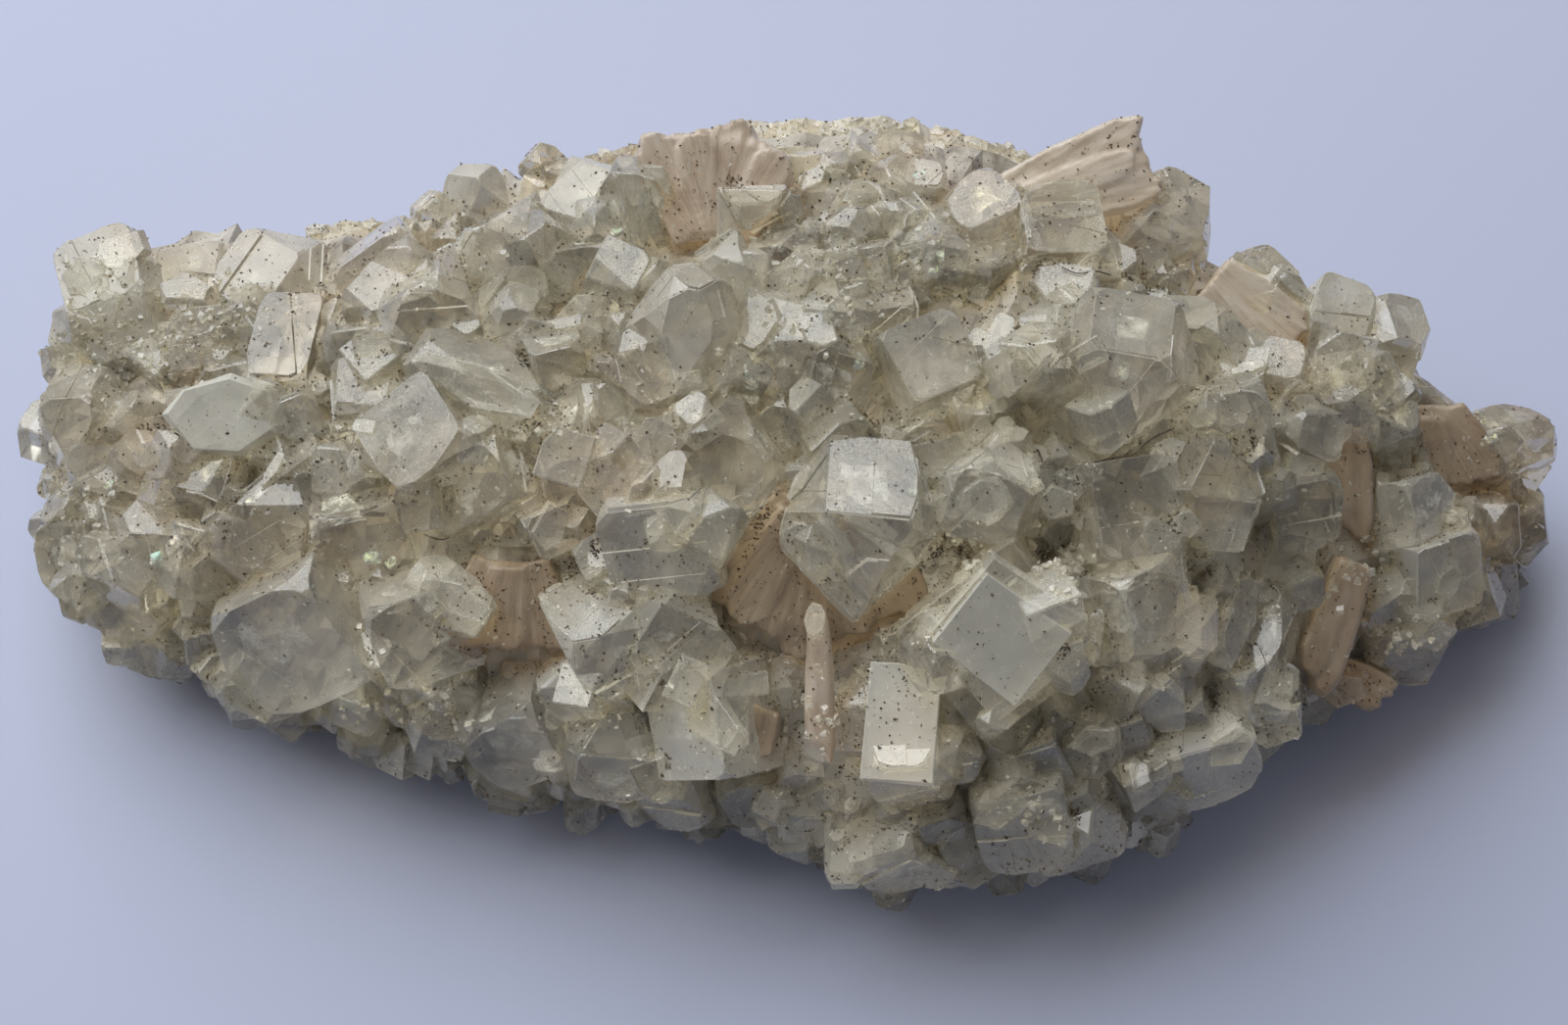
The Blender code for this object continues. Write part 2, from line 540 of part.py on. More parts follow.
# The stilbite sheaves, each cut off where it meets the rock.
rooms_body = bmesh.new()
for name, row in SHEAVES.items():
    sheaf = made_object(name, sheaf_mesh(row, bed_surface))
    coloured(sheaf, "stilbite", 0.5)
    boolean(sheaf, "DIFFERENCE", rock_room, joins_itself=True)
    settled(sheaf)
    add_to(rooms_body, room_mesh(row, bed_surface))
sheaf_rooms = made_object("sheaf_rooms", rooms_body, helper=True)

# The crust: the bed and every crystal in one solid, less the rock and the sheaves.
growth = random.Random(CRYSTAL_SEED)
crystals_body = bmesh.new()
for across, up, width, length, lean, toward, turn, end_share, height in CRYSTALS:
    crystal = crystal_mesh(width * MM, length * MM, end_share, lean > 55, growth)
    place = seat(across, up, bed_surface) + height * MM * TO_EYE
    crystal.transform(Matrix.Translation(place) @ pointing(lean, toward, turn).to_4x4())
    add_to(crystals_body, crystal)
crystals = made_object("crystals", crystals_body, helper=True)
crust = made_object("apophyllite_crust", bed_body)
coloured(crust, "apophyllite", 0.12, transmission=0.6)
boolean(crust, "UNION", crystals, joins_itself=True)
boolean(crust, "DIFFERENCE", rock_room)
boolean(crust, "DIFFERENCE", sheaf_rooms, joins_itself=True)
settled(crust)
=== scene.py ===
"""Apophyllite with stilbite: how the specimen looks.

It is a broken lump of cream rock under a crust of crystals that have grown into each other.
"""

import math
import random

import bmesh
import bpy
from mathutils import Matrix, Vector, noise
from mathutils.bvhtree import BVHTree


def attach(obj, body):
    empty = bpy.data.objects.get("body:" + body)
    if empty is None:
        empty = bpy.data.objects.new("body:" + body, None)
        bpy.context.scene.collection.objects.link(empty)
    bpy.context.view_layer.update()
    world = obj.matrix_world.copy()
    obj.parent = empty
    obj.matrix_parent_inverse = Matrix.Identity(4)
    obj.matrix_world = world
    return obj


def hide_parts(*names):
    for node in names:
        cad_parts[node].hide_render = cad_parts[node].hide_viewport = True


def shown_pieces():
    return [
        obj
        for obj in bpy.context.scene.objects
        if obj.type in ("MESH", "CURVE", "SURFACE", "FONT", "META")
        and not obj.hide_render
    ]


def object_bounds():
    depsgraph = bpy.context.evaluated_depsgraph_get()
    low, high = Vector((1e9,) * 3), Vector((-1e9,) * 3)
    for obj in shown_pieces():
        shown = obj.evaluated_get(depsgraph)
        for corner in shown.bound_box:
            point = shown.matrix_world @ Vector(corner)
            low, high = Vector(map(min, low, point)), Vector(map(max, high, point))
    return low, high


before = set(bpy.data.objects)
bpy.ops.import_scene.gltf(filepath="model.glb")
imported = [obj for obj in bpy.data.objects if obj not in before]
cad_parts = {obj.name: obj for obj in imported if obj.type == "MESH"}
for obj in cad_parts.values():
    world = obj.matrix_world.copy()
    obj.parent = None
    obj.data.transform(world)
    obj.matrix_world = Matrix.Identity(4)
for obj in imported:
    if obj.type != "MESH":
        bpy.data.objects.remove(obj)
cad_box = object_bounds()

# The view. The specimen lies on a table, and someone looks down at it over its front edge. Small things are
# placed as they are seen from there: across and up in millimetres from the middle of the view.
MM = 0.001
LOOK_DOWN = math.radians(66)
EYE_DISTANCE = 330 * MM
VIEW_MIDDLE = Vector((-1, 0, 14)) * MM
ACROSS = Vector((1, 0, 0))
UP = Vector((0, math.sin(LOOK_DOWN), math.cos(LOOK_DOWN)))
TO_EYE = ACROSS.cross(UP)
EYE = VIEW_MIDDLE + EYE_DISTANCE * TO_EYE


def new_object(name, data):
    """A new object in the scene."""
    made = bpy.data.objects.new(name, data)
    bpy.context.scene.collection.objects.link(made)
    return made


eye = bpy.data.cameras.new("eye")
eye.sensor_width = 36
eye.lens = 82.5
camera = new_object("eye", eye)
facing = Matrix((ACROSS, UP, TO_EYE)).transposed().to_4x4()
camera.matrix_world = Matrix.Translation(EYE) @ facing
bpy.context.scene.camera = camera

# The rock: broken cream matrix, chalky and crumbly, with a fine sugary crust where it is bare. It is the CAD
# rock in smaller faces, roughened everywhere but on the base that it rests on.
ROCK_SEED = 11
BARE_FROM = 0.4 * MM
BASE_BELOW = 0.3 * MM
FACES_DOWN = -0.9
WELD = 0.002 * MM
ROCK_CRUMBS = ((5 * MM, 0.5 * MM), (1.7 * MM, 0.5 * MM), (0.7 * MM, 0.3 * MM))


def welded(node):
    """A CAD node's mesh with its loose triangles joined at their edges."""
    body = bmesh.new()
    body.from_mesh(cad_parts[node].data)
    bmesh.ops.remove_doubles(body, verts=body.verts, dist=WELD)
    body.normal_update()
    return body


def as_mesh(body, name="part"):
    """A bmesh as a plain mesh; the bmesh is freed."""
    mesh = bpy.data.meshes.new(name)
    body.to_mesh(mesh)
    body.free()
    return mesh


def piece(name, body, finish, slot, *nodes):
    """A finished piece of the specimen from a bmesh, in place of the CAD nodes that it stands for."""
    made = new_object(name, as_mesh(body, name))
    made.data.materials.append(finish)
    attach(made, "root")
    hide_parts(*nodes)
    return made


def new_finish(name):
    """A new material, with its node tree and its Principled shader."""
    finish = bpy.data.materials.new(name)
    finish.use_nodes = True
    tree = finish.node_tree
    return finish, tree, tree.nodes["Principled BSDF"]


def node_in(tree, kind, **values):
    """A node with its properties and its inputs set; an input's name has _ for a space."""
    made = tree.nodes.new(kind)
    for name, value in values.items():
        socket = made.inputs.get(name.replace("_", " "))
        if socket is None:
            setattr(made, name, value)
        else:
            socket.default_value = value
    return made


def ramp_of(tree, source, stops):
    """A colour ramp on a value, from (place, colour) stops."""
    ramp = tree.nodes.new("ShaderNodeValToRGB")
    while len(ramp.color_ramp.elements) < len(stops):
        ramp.color_ramp.elements.new(0.5)
    for element, (place, colour) in zip(ramp.color_ramp.elements, stops):
        element.position = place
        element.color = (*colour, 1)
    tree.links.new(source, ramp.inputs["Fac"])
    return ramp.outputs["Color"]


def place_in(tree):
    """Where each spot of the surface is, for patterns."""
    return node_in(tree, "ShaderNodeTexCoord").outputs["Object"]


def noise_in(tree, place, **values):
    """A noise pattern over a place."""
    pattern = node_in(tree, "ShaderNodeTexNoise", **values)
    tree.links.new(place, pattern.inputs["Vector"])
    return pattern.outputs["Fac"]


def new_group(name, taken, given):
    """A shader node group with the named inputs and outputs, its input sockets and its output sockets."""
    group = bpy.data.node_groups.new(name, "ShaderNodeTree")
    for way, sockets in (("INPUT", taken), ("OUTPUT", given)):
        for socket, kind in sockets:
            group.interface.new_socket(socket, in_out=way, socket_type="NodeSocket" + kind)
    return group, group.nodes.new("NodeGroupInput").outputs, group.nodes.new("NodeGroupOutput").inputs


def group_in(tree, group, **values):
    """A node group placed in a material with its own values."""
    node = tree.nodes.new("ShaderNodeGroup")
    node.node_tree = group
    for name, value in values.items():
        node.inputs[name].default_value = value
    return node


def crumbly_grain():
    """The grain of a crumbly surface, as fine even relief."""
    inputs = (("Scale", "Float"), ("Detail", "Float"))
    group, taken, given = new_group("crumbly_grain", inputs, (("Height", "Float"),))
    grains = noise_in(group, place_in(group))
    for name in ("Scale", "Detail"):
        group.links.new(taken[name], grains.node.inputs[name])
    group.links.new(grains, given["Height"])
    return group


def add_bump(tree, shader, height, strength, distance):
    """Relief that is too fine for the mesh."""
    bump = node_in(tree, "ShaderNodeBump", Strength=strength, Distance=distance)
    tree.links.new(height, bump.inputs["Height"])
    tree.links.new(bump.outputs["Normal"], shader.inputs["Normal"])


def patchy_finish(name, roughness, shades, **values):
    """A material in patches of colour, from (place, colour) stops; the values are the patches' own."""
    finish, tree, shader = new_finish(name)
    patches = noise_in(tree, place_in(tree), **values)
    tree.links.new(ramp_of(tree, patches, shades), shader.inputs["Base Color"])
    shader.inputs["Roughness"].default_value = roughness
    return finish, tree, shader


def rock_finish():
    """Chalky cream rock with brown stains."""
    shades = ((0.3, (0.20, 0.145, 0.085)), (0.42, (0.46, 0.39, 0.28)), (0.6, (0.60, 0.56, 0.46)))
    finish, tree, shader = patchy_finish("chalky_rock", 0.8, shades, Scale=140, Detail=6, Roughness=0.65)
    grain = group_in(tree, grain_group, Scale=1500, Detail=3)
    add_bump(tree, shader, grain.outputs["Height"], 0.6, 0.12 * MM)
    return finish


grain_group = crumbly_grain()
crust = welded("apophyllite_crust")
crust_skin = BVHTree.FromBMesh(crust)
rock_body = welded("matrix")
rock_skin = BVHTree.FromBMesh(rock_body)
noise.seed_set(ROCK_SEED)
bmesh.ops.subdivide_edges(rock_body, edges=rock_body.edges, cuts=2, use_grid_fill=True)
bare = [
    face for face in rock_body.faces
    if face.normal.z > FACES_DOWN and crust_skin.find_nearest(face.calc_center_median())[3] > BARE_FROM
]
bare_edges = dict.fromkeys(edge for face in bare for edge in face.edges)
bmesh.ops.subdivide_edges(rock_body, edges=list(bare_edges), cuts=2, use_grid_fill=True)
rock_body.normal_update()
for vert in rock_body.verts:
    crumb = 0
    for size, height in ROCK_CRUMBS:
        crumb += height * noise.noise(vert.co / size)
    on_base = vert.co.z < BASE_BELOW
    vert.co += vert.normal * (0 if on_base else crumb)
piece("rock", rock_body, rock_finish(), "rock", "matrix")

# The crystals' common bed: where they have all grown into each other they are cloudy. It is grown from the
# rock's surface wherever the crust covers it, thinner under overhangs, and the clear crystals stand in it.
BED_RISE = 2.3 * MM
BED_LUMPS = ((1.1 * MM, 0.35), (3.4 * MM, 0.5))
BED_BURIED = 0.5 * MM
BED_OFF_FLOOR = 0.4 * MM
OVERHANG_THINS = 1.2
THINNEST = 0.3
CRUST_NEAR = 1.2 * MM
# Where the painted front light begins and where it is full, along Y.
FRONT_LIGHT_FROM = -4 * MM
FRONT_LIGHT_AT = -26 * MM


def blend_of(tree, factor, one, two):
    """A blend of two colours, each a socket or a value."""
    mixed = tree.nodes.new("ShaderNodeMix")
    mixed.data_type = "RGBA"
    tree.links.new(factor, mixed.inputs["Factor"])
    for socket, colour in ((mixed.inputs[6], one), (mixed.inputs[7], two)):
        if isinstance(colour, tuple):
            socket.default_value = colour
        else:
            tree.links.new(colour, socket)
    return mixed.outputs[2]


def remap(tree, value, **values):
    """A value moved from one range to another, and kept inside it."""
    moved = node_in(tree, "ShaderNodeMapRange", **values)
    tree.links.new(value, moved.inputs["Value"])
    return moved.outputs["Result"]


def front_painted_light():
    """How far towards the specimen's front a place is, where the crystals get painted light: a paler colour
    that stands in for light passing through them.
    """
    group, taken, given = new_group("front_painted_light", (("Most", "Float"),), (("Share", "Float"),))
    parts = node_in(group, "ShaderNodeSeparateXYZ")
    group.links.new(place_in(group), parts.inputs["Vector"])
    share = remap(group, parts.outputs["Y"], From_Min=FRONT_LIGHT_FROM, From_Max=FRONT_LIGHT_AT)
    group.links.new(taken["Most"], share.node.inputs["To Max"])
    group.links.new(share, given["Share"])
    return group


def cloudy_finish():
    """Cloudy intergrown apophyllite in brown patches, darker as painted shade for the hollows that it fills,
    and paler towards the front as painted light.
    """
    finish, tree, shader = new_finish("cloudy_apophyllite")
    clouds = noise_in(tree, place_in(tree), Scale=260, Detail=5, Roughness=0.6)
    # The dark stops are partly the bed's brown stain and partly painted shade in the hollows between the
    # crystals.
    shades = ((0.32, (0.17, 0.135, 0.095)), (0.5, (0.37, 0.325, 0.255)), (0.7, (0.55, 0.505, 0.42)))
    # Painted light: towards the front the bed is blended to a pale cream.
    front = group_in(tree, front_group, Most=0.75).outputs["Share"]
    lit_front_bed = blend_of(tree, front, ramp_of(tree, clouds, shades), (0.69, 0.66, 0.59, 1))
    tree.links.new(lit_front_bed, shader.inputs["Base Color"])
    shader.inputs["Roughness"].default_value = 0.34
    grain = group_in(tree, grain_group, Scale=900, Detail=4)
    add_bump(tree, shader, grain.outputs["Height"], 0.6, 0.12 * MM)
    return finish


front_group = front_painted_light()
bed = welded("matrix")
bmesh.ops.subdivide_edges(bed, edges=bed.edges, cuts=4, use_grid_fill=True)
bed.normal_update()
raised = []
for vert in bed.verts:
    covered = crust_skin.find_nearest(vert.co)[3] < CRUST_NEAR
    crumb = sum(share * noise.noise(vert.co / size) for size, share in BED_LUMPS)
    overhang = min(1, max(THINNEST, 1 + OVERHANG_THINS * vert.normal.z))
    raised.append((vert, vert.normal * (BED_RISE * overhang * (1 + crumb) if covered else -BED_BURIED)))
for vert, step in raised:
    vert.co += step
    vert.co.z = max(vert.co.z, BED_OFF_FLOOR)
piece("cloudy_bed", bed, cloudy_finish(), "apophyllite")

# The apophyllite crystals: each is a convex block, so the crust's facets belong to one crystal as long as
# they meet at outer edges. Its corners, chips, growth plates and edges are cut here, the edges whitened as
# partly wear and partly painted highlight, and thin cracks are laid inside it.
UNDER_GAP = 0.6 * MM
UNDER_FACING = -0.8
BED_THICKNESS = 3.1 * MM
BED_FACING = 0.93
SAME_PLANE = 0.05 * MM
INWARD_BEND = -0.01
CORNER_WELD = 0.15 * MM


def is_bed(facet):
    """Whether a facet of the crust is part of the bed between the crystals, or of its underside."""
    _, normal, _, distance = rock_skin.find_nearest(facet.calc_center_median())
    alike = facet.normal.dot(normal)
    under = distance < UNDER_GAP and alike < UNDER_FACING
    bed = distance < BED_THICKNESS and alike > BED_FACING
    return under or bed


def fits_behind(facet, corners, planes):
    """Whether a facet can belong to the convex block that has these corners and planes."""
    on_facet = facet.verts[0].co
    if any((corner - on_facet).dot(facet.normal) > SAME_PLANE for corner in corners):
        return False
    return all(
        (vert.co - point).dot(normal) < SAME_PLANE for point, normal in planes for vert in facet.verts
    )


def crystals_of(crust):
    """The crust's facets in groups, each one crystal's, largest facet first."""
    seeds = [facet for facet in crust.faces if not is_bed(facet)]
    unseen = set(seeds)
    groups = []
    for seed in sorted(seeds, key=lambda facet: -facet.calc_area()):
        if seed not in unseen:
            continue
        unseen.discard(seed)
        group = [seed]
        corners = [vert.co for vert in seed.verts]
        planes = [(seed.verts[0].co, seed.normal)]
        for facet in group:
            for edge in facet.edges:
                if len(edge.link_faces) < 2 or edge.calc_face_angle_signed(0) < INWARD_BEND:
                    continue
                other = edge.link_faces[0] if edge.link_faces[1] is facet else edge.link_faces[1]
                if other in unseen and fits_behind(other, corners, planes):
                    unseen.discard(other)
                    group.append(other)
                    corners += [vert.co for vert in other.verts]
                    planes.append((other.verts[0].co, other.normal))
        groups.append(group)
    return groups


def wrap(body):
    """Turns a bmesh's points into the convex body around them, with flat faces joined."""
    found = bmesh.ops.convex_hull(body, input=body.verts)
    inside = found["geom_interior"] + found["geom_unused"]
    inner = dict.fromkeys(part for part in inside if isinstance(part, bmesh.types.BMVert))
    bmesh.ops.delete(body, geom=list(inner), context="VERTS")
    bmesh.ops.dissolve_limit(body, angle_limit=math.radians(3), verts=body.verts, edges=body.edges)
    bmesh.ops.recalc_face_normals(body, faces=body.faces)


def hull_of(points):
    """The convex body around some points."""
    hull = bmesh.new()
    for point in points:
        hull.verts.new(point)
    bmesh.ops.remove_doubles(hull, verts=hull.verts, dist=CORNER_WELD)
    wrap(hull)
    return hull


def add_to(whole, part):
    """Copies one bmesh into another and frees it."""
    mesh = as_mesh(part)
    whole.from_mesh(mesh)
    bpy.data.meshes.remove(mesh)


LAMP_TINT = (0.93, 0.91, 0.855, 1)


def let_lamps_through(tree, shader, tint):
    """Lamplight passes the shader's surface, tinted, so that it reaches what is inside and behind."""
    path = node_in(tree, "ShaderNodeLightPath")
    passing = node_in(tree, "ShaderNodeBsdfTransparent", Color=tint)
    mixed = node_in(tree, "ShaderNodeMixShader")
    tree.links.new(path.outputs["Is Shadow Ray"], mixed.inputs[0])
    tree.links.new(shader.outputs[0], mixed.inputs[1])
    tree.links.new(passing.outputs[0], mixed.inputs[2])
    tree.links.new(mixed.outputs[0], tree.nodes["Material Output"].inputs["Surface"])


def math_in(tree, operation, *values):
    """Arithmetic on values, each a socket or a number."""
    done = node_in(tree, "ShaderNodeMath", operation=operation)
    for socket, value in zip(done.inputs, values):
        if isinstance(value, float):
            socket.default_value = value
        else:
            tree.links.new(value, socket)
    return done.outputs["Value"]


def crystal_surface():
    """What all apophyllite shares.

    It has cloudy patches, white flecks, healed cracks, a faint peach stain, white edges that are partly wear
    and partly painted highlight, a faint growth relief, and towards the front it is blended with a paler
    colour as painted light.
    """
    group, taken, given = new_group(
        "crystal_surface",
        (("Deep", "Color"), ("Cloudy", "Color"), ("Roughness", "Float"), ("Paler", "Float")),
        (("Colour", "Color"), ("Roughness", "Float"), ("Relief", "Float")),
    )
    place = place_in(group)

    clouds = noise_in(group, place, Scale=230, Detail=5, Roughness=0.6)
    cloud = remap(group, clouds, From_Min=0.35, From_Max=0.65)
    flecks = noise_in(group, place, Scale=2600, Detail=2)
    fleck = remap(group, flecks, From_Min=0.63, From_Max=0.76, To_Max=0.55)
    healed = node_in(group, "ShaderNodeTexVoronoi", feature="DISTANCE_TO_EDGE", Scale=330)
    group.links.new(place, healed.inputs["Vector"])
    crack = remap(group, healed.outputs["Distance"], From_Min=0.022, From_Max=0.0, To_Max=0.45)
    marks = math_in(group, "MAXIMUM", fleck, math_in(group, "MULTIPLY", crack, cloud))
    # The edges are whitened: partly wear, partly painted highlight.
    wear_and_highlight = node_in(group, "ShaderNodeAttribute", attribute_name="wear_and_highlight").outputs["Fac"]
    white = math_in(group, "MAXIMUM", wear_and_highlight, marks)

    clouded = blend_of(group, cloud, taken["Deep"], taken["Cloudy"])
    stains = noise_in(group, place, Scale=48, Detail=2)
    peach = remap(group, stains, From_Min=0.52, From_Max=0.7, To_Max=0.4)
    warmed = blend_of(group, peach, clouded, (0.78, 0.63, 0.49, 1))
    # Painted light: towards the front the colour is blended to a pale cream.
    lit_front_colour = blend_of(group, taken["Paler"], warmed, (0.90, 0.872, 0.78, 1))
    whitened = blend_of(group, white, lit_front_colour, (0.90, 0.88, 0.82, 1))
    group.links.new(whitened, given["Colour"])

    patchy = remap(group, cloud, To_Min=0.6, To_Max=1.5)
    scuffed = math_in(group, "MULTIPLY", white, 0.5)
    group.links.new(math_in(group, "MULTIPLY_ADD", patchy, taken["Roughness"], scuffed), given["Roughness"])
    relief = noise_in(group, place, Scale=900, Detail=5, Roughness=0.7)
    grain = noise_in(group, place, Scale=4200, Detail=3)
    group.links.new(math_in(group, "MULTIPLY_ADD", grain, 0.04, relief), given["Relief"])
    return group


def clear_finish(name, deep, cloudy, roughness, transmission, paler=0.75):
    """Apophyllite: near colourless, glassy to pearly, more or less clear, and paler towards the front as
    painted light.
    """
    finish, tree, shader = new_finish(name)
    surface = group_in(tree, crystal_group, Deep=(*deep, 1), Cloudy=(*cloudy, 1), Roughness=roughness)
    front = group_in(tree, front_group, Most=paler)
    tree.links.new(front.outputs["Share"], surface.inputs["Paler"])
    tree.links.new(surface.outputs["Colour"], shader.inputs["Base Color"])
    tree.links.new(surface.outputs["Roughness"], shader.inputs["Roughness"])
    add_bump(tree, shader, surface.outputs["Relief"], 0.15, 0.03 * MM)
    shader.inputs["IOR"].default_value = 1.535
    shader.inputs["Transmission Weight"].default_value = transmission
    let_lamps_through(tree, shader, LAMP_TINT)
    return finish


def cracks_finish():
    """Cleavage cracks: thin flat films of air inside the crystals, pearly and faintly rainbowed."""
    finish, tree, shader = new_finish("cleavage_cracks")
    veil = noise_in(tree, place_in(tree), Scale=520, Detail=5, Roughness=0.7)
    colour = ramp_of(tree, veil, ((0.4, (0.80, 0.78, 0.72)), (0.6, (0.95, 0.94, 0.90))))
    tree.links.new(colour, shader.inputs["Base Color"])
    film = remap(tree, veil, From_Min=0.44, From_Max=0.66, To_Max=0.75)
    tree.links.new(film, shader.inputs["Alpha"])
    shader.inputs["Roughness"].default_value = 0.12
    shader.inputs["IOR"].default_value = 1.9
    shader.inputs["Thin Film Thickness"].default_value = 420
    shader.inputs["Thin Film IOR"].default_value = 1.4
    return finish


CUT_WELD = 0.0001 * MM
LEAST_SEEN = 0.5 * MM * MM
ROOT_SHARE = 0.8
ROOT_DEPTH = 0.35
CORNER_CUT = (0.25, 0.8)
CUT_VARIES = (0.6, 1.25)
LARGE_CUT = 0.4
LARGE_FROM = 150 * MM * MM
CHIPS = 3
CHIP_EDGE = 1.2 * MM
CHIP_PLACES = (0.02, 0.98, 0.5)
CHIP_REACH = 0.6 * MM
CHIP_SLANT = 0.55
CHIP_DEPTHS_MM = (0.15, 0.5)
SPLINTER = 0.05 * MM
EDGE_WIDTHS_MM = (0.06, 0.14)
# How white the bevelled edges are painted: partly wear, partly painted highlight.
EDGE_WEAR_AND_HIGHLIGHT = (0.05, 0.35)
CRACK_FROM = 5 * MM * MM
CRACKED_FACES = 5
CRACK_SHARES = (0.2, 0.7)
CRACK_DEPTHS = (0.06, 0.3)
CRACK_TILT = 0.2
PLATE_FROM = 7 * MM * MM
PLATE_HEIGHTS_MM = (0.06, 0.2)
PLATE_EDGE = 0.06 * MM
PLATE_LEVELS = (0.25, 0.75)
PLATE_WEAR_AND_HIGHLIGHT = 0.25
SEEN_FACING = 0.1
FINISH_SHARES = (4, 5, 2)


def cut_off(body, point, normal):
    """Cuts away what is past a plane and closes the cut."""
    parts = body.verts[:] + body.edges[:] + body.faces[:]
    cut = bmesh.ops.bisect_plane(
        body, geom=parts, plane_co=point, plane_no=normal, clear_outer=True, dist=CUT_WELD
    )
    rim = [part for part in cut["geom_cut"] if isinstance(part, bmesh.types.BMEdge)]
    if len(rim) > 2:
        bmesh.ops.contextual_create(body, geom=rim)


def cut_corners(crystal, outward, share):
    """Cuts a block's outer corners as the mineral's pyramid faces do."""
    middle = sum((vert.co for vert in crystal.verts), Vector()) / len(crystal.verts)
    cuts = []
    for vert in crystal.verts:
        if len(vert.link_edges) != 3 or (vert.co - middle).dot(outward) < 0:
            continue
        normal = sum((face.normal for face in vert.link_faces), Vector()).normalized()
        reach = min(edge.calc_length() for edge in vert.link_edges)
        depth = share * habit.uniform(*CUT_VARIES) * reach / math.sqrt(3)
        cuts.append((vert.co - normal * depth, normal))
    for point, normal in cuts:
        cut_off(crystal, point, normal)


def leaning(habit, spread):
    """A random vector in any direction, mostly about as long as the spread."""
    return Vector((habit.gauss(0, spread) for _ in range(3)))


def jumbled(habit, most):
    """A random vector with each part up to the most either way."""
    return Vector((habit.uniform(-most, most) for _ in range(3)))


def facing_of(edge):
    """The sum of the normals beside an edge, which points out over it."""
    return sum((face.normal for face in edge.link_faces), Vector())


def chip(crystal, outward):
    """Breaks off part of one outer edge."""
    edges = [edge for edge in crystal.edges if len(edge.link_faces) == 2 and edge.calc_length() > CHIP_EDGE]
    edges = [edge for edge in edges if facing_of(edge).dot(outward) > 0]
    if not edges:
        return
    edge = habit.choice(edges)
    at = edge.verts[0].co.lerp(edge.verts[1].co, habit.choice(CHIP_PLACES))
    normal = (facing_of(edge).normalized() + CHIP_SLANT * jumbled(habit, 1)).normalized()
    support = max(crystal.verts, key=lambda vert: vert.co.dot(normal)).co
    if (support - at).dot(normal) < CHIP_REACH:
        cut_off(crystal, support - normal * habit.uniform(*CHIP_DEPTHS_MM) * MM, normal)


def add_cracks(cracks, crystal, outward):
    """Adds flat cracks inside a crystal, nearly along its larger faces."""
    crystal.normal_update()
    for face in sorted(crystal.faces, key=lambda face: -face.calc_area())[:CRACKED_FACES]:
        if face.calc_area() < CRACK_FROM or face.normal.dot(outward) < SEEN_FACING:
            continue
        for _ in range(crack_habit.choice((0, 1, 1, 2))):
            size = math.sqrt(face.calc_area())
            share = crack_habit.uniform(*CRACK_SHARES)
            vert = crack_habit.choice(face.verts)
            middle = face.calc_center_median().lerp(vert.co, 0.7 * (1 - share) * crack_habit.random())
            middle -= face.normal * size * crack_habit.uniform(*CRACK_DEPTHS)
            axis = leaning(crack_habit, 1).normalized()
            tilt = Matrix.Rotation(crack_habit.gauss(0, CRACK_TILT), 3, axis)
            rim = [tilt @ (vert.co - face.calc_center_median()) * share for vert in face.verts]
            cracks.faces.new([cracks.verts.new(middle + at * crack_habit.uniform(0.6, 1.1)) for at in rim])


def bevel_edges(crystal, width, wear_and_highlight_share):
    """Rounds all edges and marks the narrow faces that this makes as whitened, partly wear and partly painted
    highlight.
    """
    wear_and_highlight = crystal.faces.layers.float.new("wear_and_highlight")
    made = bmesh.ops.bevel(
        crystal, geom=crystal.edges, offset=width, segments=1, profile=0.5, affect="EDGES", material=-1,
        clamp_overlap=True,
    )
    for face in made["faces"]:
        face[wear_and_highlight] = wear_and_highlight_share


def add_growth_plates(crystal, outward):
    """Raises thin plates on the large faces, where the crystal's last layers stopped growing."""
    wear_and_highlight = crystal.faces.layers.float["wear_and_highlight"]
    large = [face for face in crystal.faces if face.calc_area() > PLATE_FROM]
    for face in [face for face in large if face.normal.dot(outward) > SEEN_FACING]:
        for _ in range(habit.choice((0, 1, 1, 2, 2))):
            corner = habit.choice(sorted(face.loops, key=lambda loop: tuple(loop.vert.co)))
            start = corner.vert.co.copy()
            across = face.normal.cross((corner.link_loop_next.vert.co - start).normalized())
            heights = [(vert.co - start).dot(across) for vert in face.verts]
            level = min(heights) + (max(heights) - min(heights)) * habit.uniform(*PLATE_LEVELS)
            split = bmesh.ops.bisect_plane(
                crystal, geom=[face, *face.edges, *face.verts], plane_co=start + across * level,
                plane_no=across, dist=CUT_WELD,
            )
            halves = [part for part in split["geom"] if isinstance(part, bmesh.types.BMFace)]
            face = habit.choice(sorted(halves, key=lambda half: tuple(half.calc_center_median())))
            rim = bmesh.ops.inset_individual(
                crystal, faces=[face], thickness=PLATE_EDGE, depth=habit.uniform(*PLATE_HEIGHTS_MM) * MM
            )
            # The plates' rims are whitened: partly wear, partly painted highlight.
            for narrow in rim["faces"]:
                narrow[wear_and_highlight] = PLATE_WEAR_AND_HIGHLIGHT


